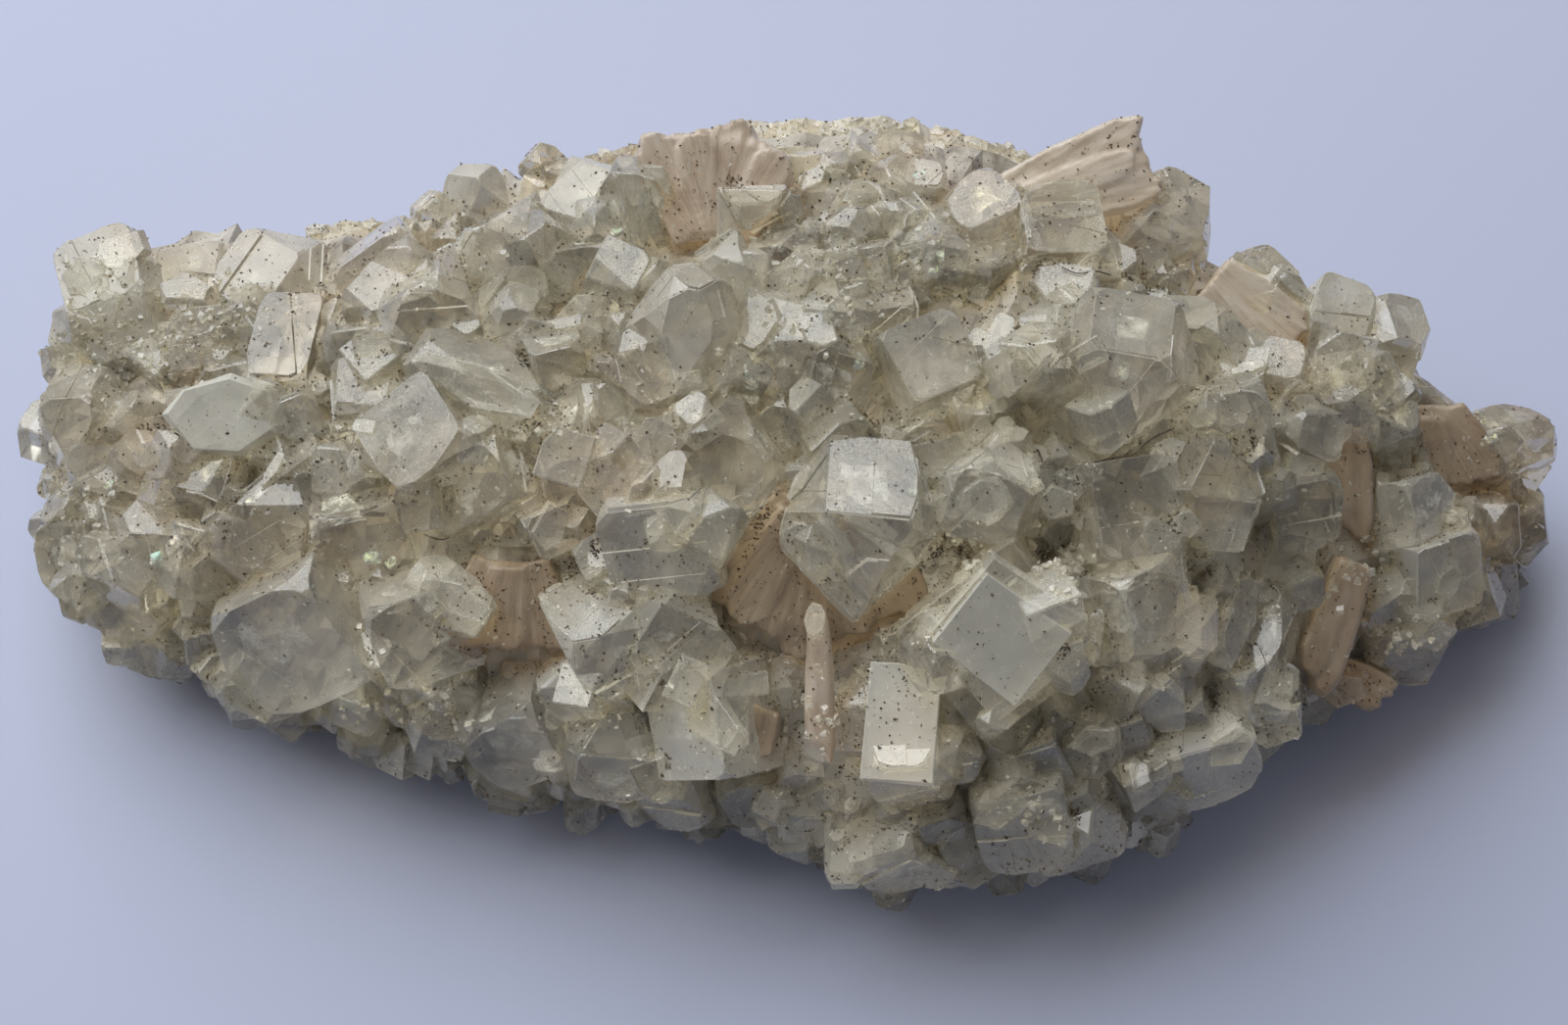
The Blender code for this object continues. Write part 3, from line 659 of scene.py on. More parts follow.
bmesh.ops.dissolve_limit(crust, angle_limit=math.radians(0.6), verts=crust.verts, edges=crust.edges)
crust.normal_update()
habit = random.Random(21)
crystal_group = crystal_surface()
finishes = (
    clear_finish("clear_apophyllite", (0.69, 0.655, 0.56), (0.82, 0.795, 0.71), 0.05, 0.86),
    clear_finish("milky_apophyllite", (0.59, 0.555, 0.465), (0.72, 0.695, 0.61), 0.12, 0.71),
    clear_finish("frosted_apophyllite", (0.55, 0.515, 0.43), (0.68, 0.655, 0.575), 0.24, 0.54),
)
bodies = [bmesh.new() for _ in finishes]
cracks = bmesh.new()
crack_habit = random.Random(33)
for group in crystals_of(crust):
    area = sum(facet.calc_area() for facet in group)
    if area < LEAST_SEEN:
        continue
    outward = sum((facet.normal * facet.calc_area() for facet in group), Vector()).normalized()
    corners = [vert.co.copy() for facet in group for vert in facet.verts]
    middle = sum(corners, Vector()) / len(corners)
    depth = ROOT_DEPTH * math.sqrt(area)
    roots = [middle + ROOT_SHARE * (corner - middle) - outward * depth for corner in corners]
    crystal = hull_of(corners + roots)
    least, most = CORNER_CUT
    cut_corners(crystal, outward, habit.uniform(least, most if area < LARGE_FROM else LARGE_CUT))
    for _ in range(CHIPS):
        chip(crystal, outward)
    bmesh.ops.dissolve_degenerate(crystal, dist=SPLINTER, edges=crystal.edges)
    add_cracks(cracks, crystal, outward)
    bevel_edges(crystal, habit.uniform(*EDGE_WIDTHS_MM) * MM, habit.uniform(*EDGE_WEAR_AND_HIGHLIGHT))
    crystal.normal_update()
    add_growth_plates(crystal, outward)
    add_to(bodies[habit.choices((0, 1, 2), FINISH_SHARES)[0]], crystal)
for body, finish in zip(bodies, finishes):
    made = piece(finish.name.replace("apophyllite", "crystals"), body, finish, "apophyllite")
    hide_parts("apophyllite_crust")
bmesh.ops.triangulate(cracks, faces=cracks.faces)
pearly = cracks_finish()
piece("inner_cracks", cracks, pearly, "apophyllite")

# The small crystals that fill the gaps: the same mineral in younger, shorter blocks, rooted in the crust's
# bed and in the valleys between the large crystals.
SMALL_WIDTHS = (1.4 * MM, 5.4 * MM)
NARROWEST = 0.8 * MM
PYRAMID_LEAN = math.radians(60.4)
YOUNG_SHAPES = 14
BED_SPACING = 2.2 * MM
BACK_FACING = 0.6
VALLEY_SPACING = 4.2 * MM
VALLEY_BEND = -0.2
VALLEY_FACES = 60 * MM * MM
OFF_STILBITE = 0.6
OFF_FLOOR = 0.9
UNDER_WIDTH = 0.7
SMALL_TILT = 0.5
SMALL_REACH = 0.8
SMALL_PROUD = 0.4 * MM
MILKY_SHARE = 0.4
small_habit = random.Random(8)


def young_crystal(length, end_share):
    """A small crystal of width 1 along Z: a square prism with cut corners and bevelled edges."""
    crystal = bmesh.new()
    bmesh.ops.create_cube(crystal, size=1)
    bmesh.ops.scale(crystal, vec=(1, 1, length), verts=crystal.verts)
    for quarter in range(4):
        corner = Matrix.Rotation((quarter + 0.5) * math.pi / 2, 3, "Z") @ Vector((1, 0, 0))
        normal = math.sin(PYRAMID_LEAN) * corner + math.cos(PYRAMID_LEAN) * Vector((0, 0, 1))
        share = end_share * small_habit.uniform(0.85, 1.15)
        reach = 0.5 * share * math.sin(PYRAMID_LEAN) + 0.5 * length * math.cos(PYRAMID_LEAN)
        cut_off(crystal, normal * reach, normal)
    side = Vector((small_habit.uniform(-1, 1), small_habit.uniform(-1, 1), small_habit.uniform(0, 1)))
    side.normalize()
    cut_off(crystal, side * 0.55, side)
    # Its edges are whitened a little: partly wear, partly painted highlight.
    bevel_edges(crystal, 0.03, 0.05)
    return crystal


stilbite_skin = bmesh.new()
for name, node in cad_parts.items():
    if name.startswith("stilbite"):
        stilbite_skin.from_mesh(node.data)
stilbite_tree = BVHTree.FromBMesh(stilbite_skin)
young = []
for _ in range(YOUNG_SHAPES):
    end_share = small_habit.choice((0.35, 0.6, 0.8, 1.0, 1.25))
    young.append(as_mesh(young_crystal(small_habit.uniform(0.9, 1.6), end_share)))


def mostly_small(habit, sizes, power):
    """A random size from the least to the most; the higher the power, the more of them are small."""
    least, most = sizes
    return least + (most - least) * habit.random() ** power


def scatter(body, template, place):
    """Adds a copy of a small shape to a piece, moved into place."""
    copy = template.copy()
    copy.transform(place)
    body.from_mesh(copy)
    bpy.data.meshes.remove(copy)


def seats_on_bed():
    """Places between the large crystals, as (point, outward), spaced over the bed's facets."""
    seats = []
    for facet in crust.faces:
        rock_normal = rock_skin.find_nearest(facet.calc_center_median())[1]
        if not is_bed(facet) or facet.normal.dot(rock_normal) < 0 or facet.normal.y > BACK_FACING:
            continue
        count = facet.calc_area() / (BED_SPACING * BED_SPACING)
        for _ in range(int(count + small_habit.random())):
            shares = [small_habit.random() ** 2 for _ in facet.verts]
            weighed = sum((vert.co * share for vert, share in zip(facet.verts, shares)), Vector())
            seats.append((weighed / sum(shares), facet.normal.copy()))
    return seats


def seats_in_valleys():
    """Places along the edges where two crystals meet, as (point, outward)."""
    seats = []
    for edge in crust.edges:
        if len(edge.link_faces) < 2 or edge.calc_face_angle_signed(0) > VALLEY_BEND:
            continue
        if max(face.calc_area() for face in edge.link_faces) > VALLEY_FACES:
            continue
        if rock_skin.find_nearest(edge.verts[0].co)[3] < UNDER_GAP:
            continue
        outward = facing_of(edge).normalized()
        for _ in range(int(edge.calc_length() / VALLEY_SPACING + small_habit.random())):
            seats.append((edge.verts[0].co.lerp(edge.verts[1].co, small_habit.random()), outward))
    return seats


small_bodies = [bmesh.new(), bmesh.new()]
for point, outward in seats_on_bed() + seats_in_valleys():
    width = mostly_small(small_habit, SMALL_WIDTHS, 2)
    if outward.z < 0:
        width = min(UNDER_WIDTH * width, OFF_FLOOR * point.z)
    if stilbite_tree.find_nearest(point)[3] < OFF_STILBITE * width or width < NARROWEST:
        continue
    axis = (outward + leaning(small_habit, SMALL_TILT)).normalized()
    turn = Matrix.Rotation(small_habit.uniform(0, math.pi / 2), 4, "Z")
    place = Matrix.Translation(point) @ axis.to_track_quat("Z", "Y").to_matrix().to_4x4() @ turn
    template = small_habit.choice(young)
    tip = point + SMALL_REACH * width * axis
    too_proud = min(tip.x - cad_box[0].x, tip.y - cad_box[0].y, cad_box[1].z - tip.z) < -SMALL_PROUD
    if point.z < OFF_FLOOR * width or too_proud:
        continue
    scatter(small_bodies[small_habit.random() < MILKY_SHARE], template, place @ Matrix.Scale(width, 4))
for name, body, finish in zip(("small_clear_crystals", "small_milky_crystals"), small_bodies, finishes[:2]):
    piece(name, body, finish, "apophyllite")

# The stilbite: each sheaf or blade is a bundle of thin pearly crystals side by side, spread from its root. It
# is peach to pink-brown, lined along its length, and its blades end in uneven tips. A root is given as it is
# seen, across and up.
SHEAF_ROOTS_MM = {
    "top_sheaf": (-6.4, 23.6),
    "back_blades": (14.6, 26.4),
    "striated_blade": (33.6, 27.6),
    "right_column": (51.6, 40.2),
    "leaning_bar": (60.2, 24.6),
    "right_patch": (57.5, 13.6),
    "hollow_sheaf": (3.4, 2.6),
    "front_rod": (3.2, 30.2),
    "left_patch": (-24, 3),
    "front_chip": (-1.6, -12),
    "rim_blade": (46, -11.4),
}
SOFTENED = {"front_rod": 40, "leaning_bar": 10, "right_column": 8, "back_blades": 4}
TIPS_UNEVEN = 0.5 * MM
SHEAF_VOXEL = 0.24 * MM
LINE_DEPTH = 0.075 * MM
SHEAF_FILL = 0.9
SOFTENING = 2
LINES_AROUND = 28.6
LINES_ALONG = 0.22 / MM
LINES_DEEP = 1.6 / MM
SHEAF_LAMP_TINT = (0.7, 0.6, 0.48, 1)
sheaf_lines = random.Random(6)


def on_view(point):
    """Where a point is seen, across and up in metres."""
    line = point - EYE
    seen = EYE + line * (EYE_DISTANCE / -line.dot(TO_EYE)) - VIEW_MIDDLE
    return seen.dot(ACROSS), seen.dot(UP)


def stilbite_finish(name, colours):
    """Pearly stilbite, lined along its blades, with cloudy patches."""
    finish, tree, shader = new_finish(name)
    lines = node_in(tree, "ShaderNodeAttribute", attribute_name="lines").outputs["Vector"]
    fine = noise_in(tree, lines, Scale=1, Detail=4, Roughness=0.7)
    clouds = noise_in(tree, place_in(tree), Scale=240, Detail=4)
    both = math_in(tree, "MULTIPLY", math_in(tree, "ADD", fine, clouds), 0.5)
    tree.links.new(ramp_of(tree, both, tuple(zip((0.36, 0.5, 0.66), colours))), shader.inputs["Base Color"])
    shader.inputs["Roughness"].default_value = 0.34
    shader.inputs["IOR"].default_value = 1.5
    shader.inputs["Transmission Weight"].default_value = 0.3
    shader.inputs["Sheen Weight"].default_value = 0.15
    add_bump(tree, shader, fine, 0.4, 0.06 * MM)
    let_lamps_through(tree, shader, SHEAF_LAMP_TINT)
    return finish


def remeshed(body, voxel):
    """A bmesh with the same shape in small even faces, its edges softened."""
    mesh = bpy.data.meshes.new("rough")
    body.to_mesh(mesh)
    rough = new_object("rough", mesh)
    remesh = rough.modifiers.new("remesh", "REMESH")
    remesh.mode = "VOXEL"
    remesh.voxel_size = voxel
    graph = bpy.context.evaluated_depsgraph_get()
    body.clear()
    body.from_mesh(rough.evaluated_get(graph).to_mesh())
    bpy.data.objects.remove(rough)
    body.normal_update()


pale = stilbite_finish("pale_stilbite", ((0.50, 0.39, 0.275), (0.71, 0.61, 0.475), (0.82, 0.75, 0.635)))
dusky = stilbite_finish("dusky_stilbite", ((0.40, 0.30, 0.205), (0.60, 0.49, 0.37), (0.73, 0.64, 0.52)))
tan = stilbite_finish("tan_stilbite", ((0.33, 0.235, 0.15), (0.45, 0.345, 0.235), (0.56, 0.46, 0.335)))
sheaf_kinds = {"top_sheaf": dusky, "front_rod": dusky, "back_blades": pale, "striated_blade": pale}
for short_name, (across, up) in SHEAF_ROOTS_MM.items():
    node = "stilbite_" + short_name
    sheaf = welded(node)
    core = hull_of([vert.co for vert in sheaf.verts])
    middle = sum((vert.co for vert in core.verts), Vector()) / len(core.verts)
    for vert in core.verts:
        vert.co = middle + SHEAF_FILL * (vert.co - middle)
    add_to(sheaf, core)
    remeshed(sheaf, SHEAF_VOXEL)
    for _ in range(SOFTENED.get(short_name, SOFTENING)):
        bmesh.ops.smooth_vert(
            sheaf, verts=sheaf.verts, factor=0.5, use_axis_x=True, use_axis_y=True, use_axis_z=True
        )
    sheaf.normal_update()
    lines = {}
    spread = {}
    seed = sheaf_lines.uniform(0, 90)
    for vert in sheaf.verts:
        seen_across, seen_up = on_view(vert.co)
        turn = math.atan2(seen_across - across * MM, up * MM - seen_up)
        far = math.hypot(seen_across - across * MM, seen_up - up * MM)
        height = (vert.co - VIEW_MIDDLE).dot(TO_EYE)
        lines[vert.index] = Vector((LINES_AROUND * turn + seed, LINES_ALONG * far, LINES_DEEP * height))
        spread[vert.index] = (far, ACROSS * math.sin(turn) - UP * math.cos(turn))
    longest = max(far for far, _ in spread.values())
    for vert in sheaf.verts:
        line = lines[vert.index]
        far, along = spread[vert.index]
        ridge = noise.noise(line * 0.6) + 0.6 * noise.noise(line * 1.7)
        vert.co += vert.normal * LINE_DEPTH * ridge
        blade_end = 0.5 + noise.noise(Vector((0.5 * line.x, 0, 0.6 * line.z)))
        vert.co -= along * TIPS_UNEVEN * blade_end * max(0, far / longest - 0.5) * 2
    made = piece(short_name, sheaf, sheaf_kinds.get(short_name, tan), "stilbite", node)
    store = made.data.attributes.new("lines", "FLOAT_VECTOR", "POINT")
    for number, line in lines.items():
        store.data[number].vector = line
    made.data.shade_smooth()

# The last crystals to grow: single plates, leaves and blocks on top of the others, and pearly flakes. Each
# is placed as it is seen, across and up, with its length, width, turn in degrees, corner count, rise above
# the surface and lustre. Bright and pearly ones face the window, soft and matte ones the viewer.
LATE_MM = (
    (-51.4, 8.8, 9.6, 6.4, 4, 7, 1.8, "matte"),
    (-61.0, 24.0, 5.0, 4.0, 30, 5, 0.6, "soft"),
    (-64.0, 21.5, 4.5, 3.6, -40, 6, 0.7, "soft"),
    (-58.8, 21.8, 4.4, 3.8, 15, 5, 0.6, "soft"),
    (-62.4, 18.6, 4.0, 3.0, 60, 5, 0.5, "soft"),
    (-55.0, 20.5, 4.6, 3.4, -20, 5, 0.5, "soft"),
    (45.0, -19.6, 5.6, 4.2, 20, 5, 0.6, "soft"),
    (48.6, -17.8, 5.0, 3.6, -30, 6, 0.6, "soft"),
    (51.4, -16.4, 4.2, 3.0, 10, 5, 0.5, "soft"),
    (41.0, -21.6, 4.6, 3.4, 50, 5, 0.6, "soft"),
    (18.0, -32.4, 5.2, 3.8, 15, 5, 0.6, "soft"),
    (13.6, -33.2, 4.4, 3.2, -35, 5, 0.6, "soft"),
    (-28.5, 11.8, 11.5, 3.6, -23, 6, 0.8, "bright"),
    (21.3, 13.3, 4.8, 4.2, 35, 4, 0.8, "bright"),
    (21.2, 4.6, 6.2, 2.3, -52, 6, 0.5, "soft"),
    (-10.2, 0.4, 4.8, 3.0, -48, 4, 0.5, "bright"),
    (20.7, -10.8, 11.8, 10.0, -36, 4, 0.4, "soft"),
    (20.0, -11.4, 10.2, 8.8, -36, 4, 3.0, "matte"),
    (2.9, -9.9, 2.8, 1.7, 84, 9, 0.9, "soft"),
    (18.5, 1.0, 4.0, 3.8, 10, 9, 0.4, "soft"),
    (40.6, 9.7, 4.6, 4.0, 20, 9, 0.8, "bright"),
    (41.4, 7.0, 3.8, 3.2, -10, 8, 0.7, "soft"),
    (-16.7, -4.2, 2.7, 2.3, 15, 6, 0.9, "bright"),
    (-21.4, -1.2, 4.2, 3.0, 70, 5, 0.5, "soft"),
    (25.0, 0.8, 3.4, 3.0, 0, 5, 0.5, "soft"),
    (10.8, -19.4, 11.4, 7.2, 84, 4, 1.6, "matte"),
    (-30.0, -8.0, 6.2, 2.6, -30, 6, 0.6, "soft"),
    (-36.0, 21.0, 8.0, 5.8, 10, 5, 0.5, "soft"),
    (-20.3, 17.3, 4.5, 1.2, 6, 4, 0.7, "bright"),
    (-8.4, 24.6, 2.6, 1.9, 30, 6, 0.7, "bright"),
    (0.7, 27.8, 3.0, 2.0, 82, 6, 0.6, "soft"),
    (42.6, 13.2, 3.5, 1.4, 8, 6, 0.7, "bright"),
    (1.5, 2.7, 3.4, 1.6, 52, 6, 0.6, "bright"),
    (-58.3, 5.2, 3.4, 2.2, -12, 7, 0.7, "bright"),
    (-24.0, -1.7, 2.5, 1.8, 70, 6, 0.5, "soft"),
    (-46.8, 4.0, 4.6, 1.2, 78, 5, 0.7, "bright"),
    (-22.3, 28.0, 2.7, 1.1, 20, 8, 0.4, "bright"),
    (48.0, 10.0, 2.4, 1.6, -25, 6, 0.5, "soft"),
    (59.0, 13.0, 2.4, 1.5, -50, 5, 0.4, "soft"),
    (43.5, -6.3, 2.2, 1.5, 60, 6, 0.5, "bright"),
    (-15.5, -16.0, 2.8, 1.9, 40, 6, 0.6, "bright"),
    (-9.0, -15.5, 4.6, 3.2, 65, 4, 0.6, "bright"),
    (-4.8, -15.8, 7.6, 2.4, 10, 4, 0.6, "bright"),
    (-6.6, -19.0, 6.4, 4.2, -35, 5, 0.6, "bright"),
    (-31.0, -18.5, 6.0, 4.4, 25, 9, 0.4, "bright"),
    (20.0, -27.0, 5.4, 3.4, 30, 5, 0.6, "bright"),
    (24.0, -28.5, 5.0, 3.6, -35, 5, 0.6, "bright"),
    (32.2, -24.0, 3.6, 2.6, -60, 6, 0.5, "bright"),
    (28.5, -21.0, 4.0, 2.4, 15, 5, 0.5, "bright"),
    (46.5, 20.0, 5.5, 3.6, -40, 6, 0.5, "soft"),
    (28.0, 14.5, 3.4, 2.6, 30, 4, 0.5, "soft"),
    (66.0, 6.5, 3.4, 2.6, -35, 5, 0.4, "bright"),
    (-56.0, -3.0, 2.2, 1.6, 20, 4, 0.4, "bright"),
    (-38.5, 7.9, 2.6, 1.4, -15, 4, 0.4, "bright"),
    (61.0, -6.5, 3.2, 2.2, 60, 6, 0.4, "soft"),
    (-57.4, -4.2, 1.8, 1.4, 10, 4, 0.5, "pearly"),
    (-38.0, -4.0, 2.2, 1.2, -10, 5, 0.5, "pearly"),
    (-36.0, -4.6, 1.2, 1.0, 40, 4, 0.5, "pearly"),
    (-29.5, 25.0, 2.6, 1.6, 65, 5, 0.5, "pearly"),
    (-15.5, 25.7, 1.8, 0.9, 35, 5, 0.5, "pearly"),
    (14.0, 23.0, 2.6, 1.4, 75, 6, 0.5, "pearly"),
    (12.5, 31.0, 1.6, 1.1, 30, 5, 0.5, "pearly"),
    (31.0, 13.0, 1.7, 1.1, 50, 5, 0.5, "pearly"),
    (11.8, 1.8, 1.2, 0.7, -20, 4, 0.5, "pearly"),
    (42.0, -15.4, 1.6, 0.8, 60, 5, 0.5, "pearly"),
    (65.0, 6.7, 1.4, 0.9, 20, 4, 0.5, "pearly"),
    (4.0, 18.5, 1.6, 0.9, 15, 5, 0.5, "pearly"),
    (-3.2, 12.5, 1.3, 0.8, -40, 4, 0.5, "pearly"),
    (-18.4, 28.6, 1.3, 0.8, 25, 4, 0.5, "pearly"),
    (6.8, 14.0, 1.5, 0.8, 70, 5, 0.5, "pearly"),
    (-62.0, 2.4, 1.4, 0.9, 45, 5, 0.5, "pearly"),
)
BRIGHT_FACING = Vector((-0.29, 0.15, 0.94))
LATE_FACINGS = {
    "bright": 0.8 * BRIGHT_FACING,
    "soft": 0.8 * TO_EYE,
    "matte": 2.5 * TO_EYE,
    "pearly": 3 * BRIGHT_FACING,
}
LATE_ROOT = 0.45
LATE_EDGE = 0.06 * MM
# How white the late crystals' edges are painted: partly wear, partly painted highlight.
LATE_WEAR_AND_HIGHLIGHT = 0.3
late_habit = random.Random(17)


def whole_skin():
    """The surface of every piece of the specimen so far, for things that lie on it."""
    skin = bmesh.new()
    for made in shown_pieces():
        skin.from_mesh(made.data)
    tree = BVHTree.FromBMesh(skin)
    skin.free()
    return tree


def seen_at(skin, across, up):
    """The point on the specimen that is seen at (across, up) in millimetres, and the way that it faces."""
    target = VIEW_MIDDLE + (ACROSS * across + UP * up) * MM
    point, normal, _, _ = skin.ray_cast(EYE, (target - EYE).normalized())
    return point, normal


def late_crystal(length, width, corners, depth):
    """A plate or block with its top face at height 0, its long side along X, and its root below."""
    if corners == 4:
        uneven, reach, least_flare, most_flare = 0.05, 0.62, 1, 1.04
    else:
        uneven, reach, least_flare, most_flare = 0.18, 0.52, 1.05, 1.25
    crystal = bmesh.new()
    for number in range(corners):
        turn = (number + 0.5 + late_habit.uniform(-uneven, uneven)) * 2 * math.pi / corners
        at = Vector((math.cos(turn) * length * reach, math.sin(turn) * width * reach, 0))
        crystal.verts.new(at)
        flare = late_habit.uniform(least_flare, most_flare)
        crystal.verts.new(at * flare - Vector((0, 0, 0.3 * depth)))
        crystal.verts.new(0.6 * at - Vector((0, 0, depth)))
    wrap(crystal)
    bevel_edges(crystal, LATE_EDGE, LATE_WEAR_AND_HIGHLIGHT)
    return crystal


skin = whole_skin()
late_bodies = {lustre: bmesh.new() for lustre in LATE_FACINGS}
for across, up, length, width, turn, corners, rise, lustre in LATE_MM:
    point, normal = seen_at(skin, across, up)
    if point is None:
        continue
    facing = normal + LATE_FACINGS[lustre]
    tilt = 0.03 if corners == 4 else 0.12
    jitter = Vector((late_habit.uniform(-tilt, tilt), late_habit.uniform(-tilt, tilt), 0))
    facing = (facing.normalized() + jitter).normalized()
    angle = math.radians(turn)
    along = ACROSS * math.cos(angle) + UP * math.sin(angle)
    along = (along - facing * along.dot(facing)).normalized()
    place = Matrix((along, facing.cross(along), facing)).transposed().to_4x4()
    crystal = late_crystal(length * MM, width * MM, corners, (LATE_ROOT * width + 1) * MM)
    crystal.transform(Matrix.Translation(point + facing * 0.5 * rise * MM) @ place)
    add_to(late_bodies[lustre], crystal)
piece("late_bright_crystals", late_bodies["bright"], finishes[0], "apophyllite")
piece("late_soft_crystals", late_bodies["soft"], finishes[1], "apophyllite")
matte = clear_finish(
    "matte_apophyllite", (0.56, 0.54, 0.455), (0.63, 0.61, 0.52), roughness=0.4, transmission=0.3, paler=0.1
)
piece("late_matte_plates", late_bodies["matte"], matte, "apophyllite")
piece("late_pearly_flakes", late_bodies["pearly"], pearly, "apophyllite")

# Sugar and crumbs: tiny crystals cover the bare rock and lie in patches on the crust, and broken chips of
# crystal lie all over. A patch is given as it is seen, across and up, with its spread and count of grains.
SUGAR_SHAPES = 12
SUGAR_SPACING = 0.85 * MM
SUGAR_WIDTHS = (0.3 * MM, 1.3 * MM)
SUGAR_OFF_FLOOR = 1.5 * MM
SUGAR_TILT = 0.5
CLEAR_SHARE = 0.5
PATCH_WIDTHS_MM = (0.15, 0.7)
PATCH_TILT = 0.6
SUGAR_PATCHES_MM = (
    (-62, 20, 5, 60), (-61, 14, 4.5, 90), (-56, 16, 4, 70), (-52, 18, 4, 50), (-64, 1, 3, 20),
    (3, 21, 8, 90), (-29, 24, 3, 20), (14, 24, 4, 40), (25.5, -5, 2.4, 70), (17, -4, 2, 30),
    (-31, -18.5, 2.2, 20), (22, -27.5, 3, 20), (54, -6, 4, 30), (56, -13, 3.6, 25), (-22, 9, 3, 20),
    (4, -18, 4, 40), (-38, -17, 4, 20),
)
CRUMBS = 5200
CRUMB_SIZES = (0.04 * MM, 0.26 * MM)
CRUMB_PATCH = 6 * MM
CRUMBS_EVEN = 0.35
CRUMBS_PATCHY = 1.6
ABOVE_ALL = 100 * MM
crumb_habit = random.Random(29)


def grain_of_sugar():
    """A tiny block of width 1 with uneven faces and some corners off."""
    grain = bmesh.new()
    bmesh.ops.create_cube(grain, size=1)
    for vert in grain.verts:
        vert.co += jumbled(crumb_habit, 0.15)
    for _ in range(3):
        side = jumbled(crumb_habit, 1).normalized()
        cut_off(grain, side * crumb_habit.uniform(0.45, 0.6), side)
    bmesh.ops.recalc_face_normals(grain, faces=grain.faces)
    return grain


def turned(axis):
    """A turn that points Z along an axis, with any roll."""
    roll = Matrix.Rotation(crumb_habit.uniform(0, math.tau), 4, "Z")
    return axis.to_track_quat("Z", "Y").to_matrix().to_4x4() @ roll


grains_of_sugar = [as_mesh(grain_of_sugar()) for _ in range(SUGAR_SHAPES)]
sugar = [bmesh.new(), bmesh.new()]
rock_mesh = bpy.data.objects["rock"].data
for face in rock_mesh.polygons:
    bare = face.normal.z > -0.5 and face.center.z > SUGAR_OFF_FLOOR
    count = face.area / (SUGAR_SPACING * SUGAR_SPACING)
    if not bare or crumb_habit.random() > count or crust_skin.find_nearest(face.center)[3] < BARE_FROM:
        continue
    width = mostly_small(crumb_habit, SUGAR_WIDTHS, 3)
    axis = (face.normal + leaning(crumb_habit, SUGAR_TILT)).normalized()
    place = Matrix.Translation(face.center) @ turned(axis)
    small = crumb_habit.choice(grains_of_sugar)
    scatter(sugar[crumb_habit.random() < CLEAR_SHARE], small, place @ Matrix.Scale(width, 4))
for across, up, spread, count in SUGAR_PATCHES_MM:
    for _ in range(count):
        at = across + crumb_habit.gauss(0, 0.5 * spread), up + crumb_habit.gauss(0, 0.5 * spread)
        point, normal = seen_at(skin, *at)
        if point is None:
            continue
        width = crumb_habit.uniform(*PATCH_WIDTHS_MM) * MM
        axis = (normal + leaning(crumb_habit, PATCH_TILT)).normalized()
        place = Matrix.Translation(point) @ turned(axis) @ Matrix.Scale(width, 4)
        scatter(sugar[crumb_habit.random() < CLEAR_SHARE], crumb_habit.choice(grains_of_sugar), place)
piece("milky_sugar", sugar[0], finishes[2], "apophyllite")
piece("clear_sugar", sugar[1], finishes[1], "apophyllite")

skin = whole_skin()
crumbs = bmesh.new()
low, high = cad_box
strewn = 0
while strewn < CRUMBS:
    x, y = crumb_habit.uniform(low.x, high.x), crumb_habit.uniform(low.y, high.y)
    point, normal, _, _ = skin.ray_cast(Vector((x, y, ABOVE_ALL)), Vector((0, 0, -1)))
    if point is None:
        continue
    if crumb_habit.random() > CRUMBS_EVEN + CRUMBS_PATCHY * noise.noise(point / CRUMB_PATCH):
        continue
    size = mostly_small(crumb_habit, CRUMB_SIZES, 3)
    flat = Matrix.Diagonal((crumb_habit.uniform(1, 2.4), 1, crumb_habit.uniform(0.3, 0.8), 1))
    place = Matrix.Translation(point) @ turned(normal) @ Matrix.Scale(size, 4) @ flat
    scatter(crumbs, crumb_habit.choice(grains_of_sugar), place)
    strewn += 1
piece("crystal_crumbs", crumbs, finishes[2], "apophyllite")

# The dust: brown grains on the specimen, partly real dust and partly painted shade. The dark grains lie
# thickest in the hollows and the valleys, where they stand in for the shade there, and a few specks lie on
# the faces.
# Each nest is given as it is seen, across and up, with its spread.
GRAINS = 14000
GRAIN_SHAPES = 8
GRAIN_SIZES = (0.04 * MM, 0.14 * MM)
HOLLOW_REACH = 0.9 * MM
HOLLOW_DEPTH = 0.45 * MM
FACE_SHARE = 0.16
DUST_PATCH = 11 * MM
DUST_EVEN = 0.55
DUST_PATCHY = 0.9
DUST_AND_SHADE_NESTS_MM = (
    (-24, 14.2, 1.1), (-22.8, 7.6, 1.5), (-17.5, -3, 1.2), (-19, -4.6, 0.9), (-10.5, -15, 1.4),
    (-11, -23.3, 0.8), (14, -3.8, 1.0), (16.3, -3.4, 0.8), (15, -1.8, 0.7), (24, -3.5, 1.0),
    (26, -12.5, 1.0), (39, -17.5, 1.1), (26.7, -27.7, 0.8), (36.5, -0.5, 1.0), (17, 15.3, 0.9),
    (21.5, 16.5, 1.1), (43.5, 6.2, 0.8), (45.2, -4.5, 1.1), (38.5, -5.3, 1.0), (53, 5, 1.2),
    (-58, 7.8, 1.6), (-62.5, 11.8, 0.8), (-43, 5.5, 1.3), (-2, -0.5, 1.5), (49, -2, 1.3),
    (-42, 25.6, 1.6), (3.5, 36.4, 1.1), (-4.5, 31, 1.2), (24, 22, 1.6), (34, 21.5, 1.4),
    (-48, 16, 1.4), (-52.3, -11.3, 1.0),
)
NEST_GRAINS = 90
NEST_SIZES_MM = (0.05, 0.14)
NEST_HOLLOW = 0.25
fall = random.Random(4)


